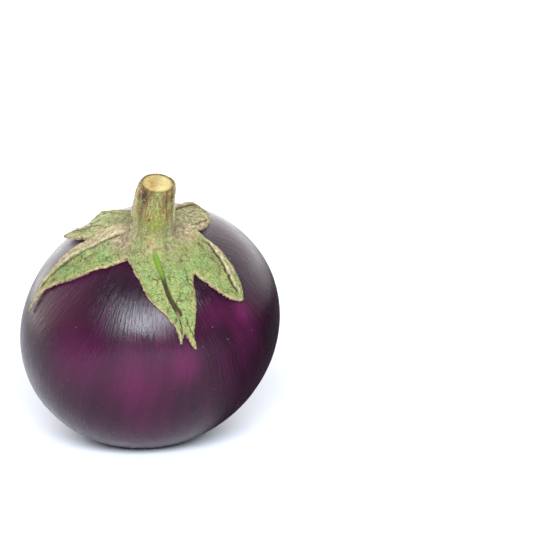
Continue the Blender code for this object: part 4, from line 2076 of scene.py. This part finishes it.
@dataclass(frozen=True)
class Studio:
    """White floor, soft boxes and the camera."""

    form: FruitForm
    distance: float = 0.75  # from the camera to the fruit's centre, along the view
    pitch: float = 11.5  # how far the camera looks down
    aside: float = 38.4 * MM  # the view's middle is this far right of the fruit's centre
    above: float = 19.3 * MM  # and this far above it
    lens: float = 152.7
    key: SoftBox = SoftBox("key_soft_box", 3.0, 29.4, 0.9, 0.84, 0.46, 42.0)
    floor_side: float = 6.0
    floor_glow: tuple[float, float, float] = (0.1, 0.5, 0.6)  # none at, full at, how much
    room_front: float = 0.15  # brightness of the room in front, as the fruit sees it
    room_back: float = 1.7  # and behind
    room_depth: tuple[float, float] = (0.0, 0.65)  # headings' Y where front ends and back begins
    room_left: float = 1.3  # factor on that
    room_right: float = 0.9
    room_width: tuple[float, float] = (-0.6, 0.8)  # headings' X where left ends and right begins
    room_gloss: float = 0.45  # how much brighter the room is in the gloss
    flag_profile: tuple[tuple[float, float, float], ...] = (
        # radius, height and cover of the dark flag round the fruit's right
        (0.015, 0.001, 1.0),
        (0.1, 0.003, 1.0),
        (0.1, 0.045, 1.0),
        (0.1, 0.075, 0.0),
    )
    flag_span: tuple[float, float] = (35.0, 165.0)  # azimuths, from -Y towards +X
    flag_steps: int = 25
    flag_ends: tuple[float, float] = (0.35, 0.92)  # shares of the span between which it is whole

    def camera(self) -> None:
        """Long-lens camera, looking along +Y and a little down."""
        c, s = math.cos(math.radians(self.pitch)), math.sin(math.radians(self.pitch))
        forward = np.array([0.0, c, -s])
        up = np.array([0.0, s, c])
        right = np.array([1.0, 0.0, 0.0])
        place = self.form.centre() - self.distance * forward
        place = place + self.aside * right + self.above * up
        data = bpy.data.cameras.new("studio_camera")
        data.lens = self.lens
        data.sensor_width = 36.0
        camera = bpy.data.objects.new("studio_camera", data)
        camera.location = place
        camera.rotation_euler = (math.radians(90.0 - self.pitch), 0.0, 0.0)
        bpy.context.scene.collection.objects.link(camera)
        bpy.context.scene.camera = camera

    def floor(self) -> None:
        """Plain matt white paper, which looks lit from below away from the fruit."""
        half = self.floor_side / 2
        corners = np.array([[-half, -half, 0], [half, -half, 0], [half, half, 0], [-half, half, 0]])
        material, tree = clean_material("studio_paper_matt")
        place = node(tree, "TexCoord").outputs["Object"]
        away = node(tree, "VectorMath", {0: place}, operation="LENGTH").outputs["Value"]
        none, full, amount = self.floor_glow
        glow = node(tree, "MapRange", {0: away, 1: none, 2: full, 3: 0.0, 4: amount})
        seen = node(tree, "LightPath").outputs["Is Camera Ray"]
        paper = {"Base Color": linear("#eaebef"), "Roughness": 0.9, "Specular IOR Level": 0.2}
        paper["Emission Color"] = (1.0, 1.0, 1.0, 1.0)
        paper["Emission Strength"] = node(tree, "Math", {0: glow, 1: seen}, operation="MULTIPLY")
        node(tree, "OutputMaterial", {"Surface": node(tree, "BsdfPrincipled", paper)})
        floor = Surface(corners.astype(float), np.array([[0, 1, 2, 3]])).piece("floor", material)

    def flag(self) -> None:
        """Dark card that only reflections see: an arc on the floor and up round the right."""
        turn = np.radians(np.linspace(*self.flag_span, self.flag_steps))
        middle = self.form.centre()
        rows = [
            np.stack([middle[0] + r * np.sin(turn), middle[1] - r * np.cos(turn), 0 * turn + z], -1)
            for r, z, _ in self.flag_profile
        ]
        material, tree = clean_material("studio_card_grey")
        card = {"Base Color": linear("#4a4248"), "Roughness": 1.0, "Specular IOR Level": 0.0}
        card["Alpha"] = node(tree, "Attribute", attribute_name="cover").outputs["Fac"]
        node(tree, "OutputMaterial", {"Surface": node(tree, "BsdfPrincipled", card)})
        share = np.linspace(0.0, 1.0, len(turn))
        first, last = self.flag_ends
        ends = ease(0.0, first, share) * ease(1.0, last, share)
        cover = np.concatenate([ends * cover for _, _, cover in self.flag_profile])
        faces = grid_faces(len(rows), len(turn))
        surface = Surface(np.concatenate(rows), faces, {"cover": cover})
        flag = surface.piece("dark_flag", material)
        flag.visible_camera = False
        flag.visible_diffuse = False
        flag.visible_shadow = False

    def world(self) -> None:
        """White room, dim in front; the camera sees plain white."""
        world = bpy.data.worlds.new("white_room")
        world.use_nodes = True
        tree = world.node_tree
        tree.nodes.clear()
        heading = node(tree, "TexCoord").outputs["Generated"]
        parts = node(tree, "SeparateXYZ", {0: heading}).outputs
        front, back = self.room_depth
        left, right = self.room_width
        depth = {0: parts["Y"], 1: front, 2: back, 3: self.room_front, 4: self.room_back}
        width = {0: parts["X"], 1: left, 2: right, 3: self.room_left, 4: self.room_right}
        ramps = [node(tree, "MapRange", links) for links in (depth, width)]
        level = node(tree, "Math", {0: ramps[0], 1: ramps[1]}, operation="MULTIPLY")
        gloss = node(tree, "LightPath").outputs["Is Glossy Ray"]
        gain = {0: gloss, 1: self.room_gloss, 2: 1.0}
        gain = node(tree, "Math", gain, operation="MULTIPLY_ADD")
        level = node(tree, "Math", {0: level, 1: gain}, operation="MULTIPLY")
        room = node(tree, "Background", {"Color": (1, 1, 1, 1), "Strength": level})
        seen = node(tree, "Background", {"Color": (1, 1, 1, 1), "Strength": 1.0})
        camera_ray = node(tree, "LightPath").outputs["Is Camera Ray"]
        both = node(tree, "MixShader", {0: camera_ray, 1: room, 2: seen})
        node(tree, "OutputWorld", {"Surface": both})
        bpy.context.scene.world = world

    def build(self) -> None:
        """Sets up the whole studio."""
        self.camera()
        self.floor()
        self.flag()
        self.world()
        self.key.build(self.form.centre())
        bpy.context.scene.view_settings.view_transform = "Standard"


def main() -> None:
    """Builds the eggplant piece by piece, then the studio around it."""
    logging.basicConfig(level=logging.INFO, format="%(name)s: %(message)s")
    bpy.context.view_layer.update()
    form = FruitForm()
    stalk = StemForm(form)
    calyx = Calyx(form, stalk)
    stem = Stem(stalk)
    for assembly in (Fruit(form), calyx, stem, Hairs(calyx, stem)):
        for piece in assembly.build():
            LOG.info("%s: %d faces", piece.name, len(piece.data.polygons))
    Studio(form).build()


if __name__ == "__main__":
    main()
